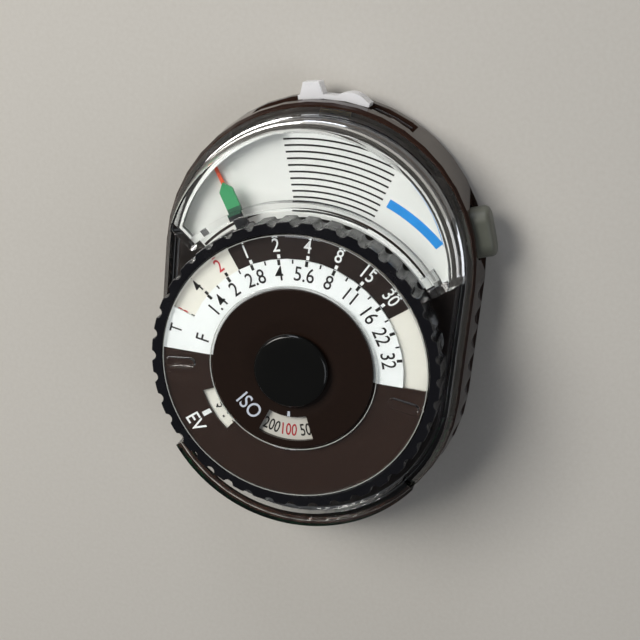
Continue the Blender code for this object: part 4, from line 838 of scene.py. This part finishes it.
# %% Levels of the printed sheets, lines of numbers and steps of the scales
plate_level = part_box("aperture_plate")[1].z / MM
time_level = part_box("time_scale")[1].z / MM
film_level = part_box("film_speed_scale")[1].z / MM
scale_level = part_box("scale_plate")[0].z / MM + 0.4
aperture_line, time_line, value_line, speed_line = 13.4, 17.25, 12.3, 9.1
step, speed_step, value_start = 14.7, 15.65, 216.3
time_tick = (15.5, 16.05, 0.42)

# %% Aperture scale
apertures = ("1.4", "2", "2.8", "4", "5.6", "8", "11", "16", "22", "32")
labels = [(words, aperture_line, 147.2 - step * index) for index, words in enumerate(apertures)]
lettering("aperture_numbers", "speed_setting", black_ink, plate_level,
          labels + [("F", 13.25, 170.3)], 2.0)
lettering("time_letter", "speed_setting", black_ink, plate_level,
          [("T", 17.3, 170.1)], 1.75)
ticks = [tick(146.6 - step * index, 14.65, 15.42, 0.42) for index in range(10)]
ticks += [tick(146.6 - step * (index + 0.5), 14.85, 15.42, 0.22) for index in range(9)]
ink_sectors("aperture_ticks", "speed_setting", black_ink, plate_level, ticks, 1)
lettering("exposure_letters", "speed_setting", white_ink, plate_level,
          [("EV", 17.0, 218.0)], 2.1, tops_out=False)
ink_sectors("exposure_index", "speed_setting", white_ink, plate_level,
            [tick(value_start, 13.95, 15.3, 0.7)], 1)

# %% Shutter time scale
ink_sectors("long_time_band", "dial", dark_ink, time_level,
            [(15.3, 18.65, 36.4, 125.0)], 40)
upper_level = time_level + ink_gap + ink_depth
long_times = ("1", "2", "4", "8", "15", "30")
lettering("long_time_numbers", "dial", white_ink, upper_level,
          [(words, time_line, 118.0 - step * index) for index, words in enumerate(long_times)], 1.85)
ink_sectors("long_time_ticks", "dial", white_ink, upper_level,
            [tick(117.3 - step * index, *time_tick) for index in range(6)], 1)
short_times = ("2", "4", "8", "15", "30", "60", "125", "250", "500", "1000", "2000", "4000", "8000")
labels = [(words, time_line, 132.6 + step * index) for index, words in enumerate(short_times)]
for name, material, first in (("red_time_numbers", red_ink, 0), ("black_time_numbers", black_ink, 1)):
    lettering(name, "dial", material, time_level, labels[first::2], 1.85, 0.78, room=3.9)
ink_sectors("short_time_ticks", "dial", black_ink, time_level,
            [tick(132.0 + step * index, *time_tick) for index in range(13)], 1)
values = [(str(index + 3), value_line, value_start + step * index) for index in range(15)]
lettering("exposure_numbers", "dial", black_ink, time_level, values, 1.5,
          tops_out=False)
dots = [tick(value_start + step / 2 * index, 12.85, 13.15, 0.3) for index in range(30)]
ink_sectors("exposure_dots", "dial", black_ink, time_level, dots, 1)

# %% Film speed scale
speeds = ("12000", "6400", "3200", "1600", "800", "400", "200", "100", "50", "25", "12", "6")
labels = [(words, speed_line, 255.7 + speed_step * (index - 6)) for index, words in enumerate(speeds)]
for name, material, first in (("black_speed_numbers", black_ink, 0), ("red_speed_numbers", red_ink, 1)):
    lettering(name, "speed_setting", material, film_level, labels[first::2], 1.75,
              0.66, False, 2.35)
lettering("film_letters", "case", cool_white_ink, inner_high,
          [("ISO", 8.45, 228.5)], 2.2, 0.8, False)
ink_sectors("film_index", "case", cool_white_ink, inner_high - 0.02,
            [tick(271.5, 6.1, 6.85, 0.4)], 1)

# %% Needle scale
radii = (31.49, 30.62, 29.75, 28.85, 27.94, 27.02, 26.10, 25.19, 24.30, 23.44, 22.59)
arcs = [(radius - 0.13, radius + 0.13, 70.3 - 0.06 * index, 101.4 - 0.16 * index)
        for index, radius in enumerate(radii)]
arcs.append((31.95, 32.2, 85.5, 96.5))
ink_sectors("needle_scale_arcs", "case", black_ink, scale_level, arcs, 24)
ink_sectors("notch_shade_band", "case", dark_ink, scale_level - 0.01,
            [(20.85, notch_radius - 0.45, 38.2, 140.2)], 48)
ink_sectors("battery_check_bar", "case", blue_ink, scale_level,
            [(24.5, 25.75, 47.0, 67.9)], 16)
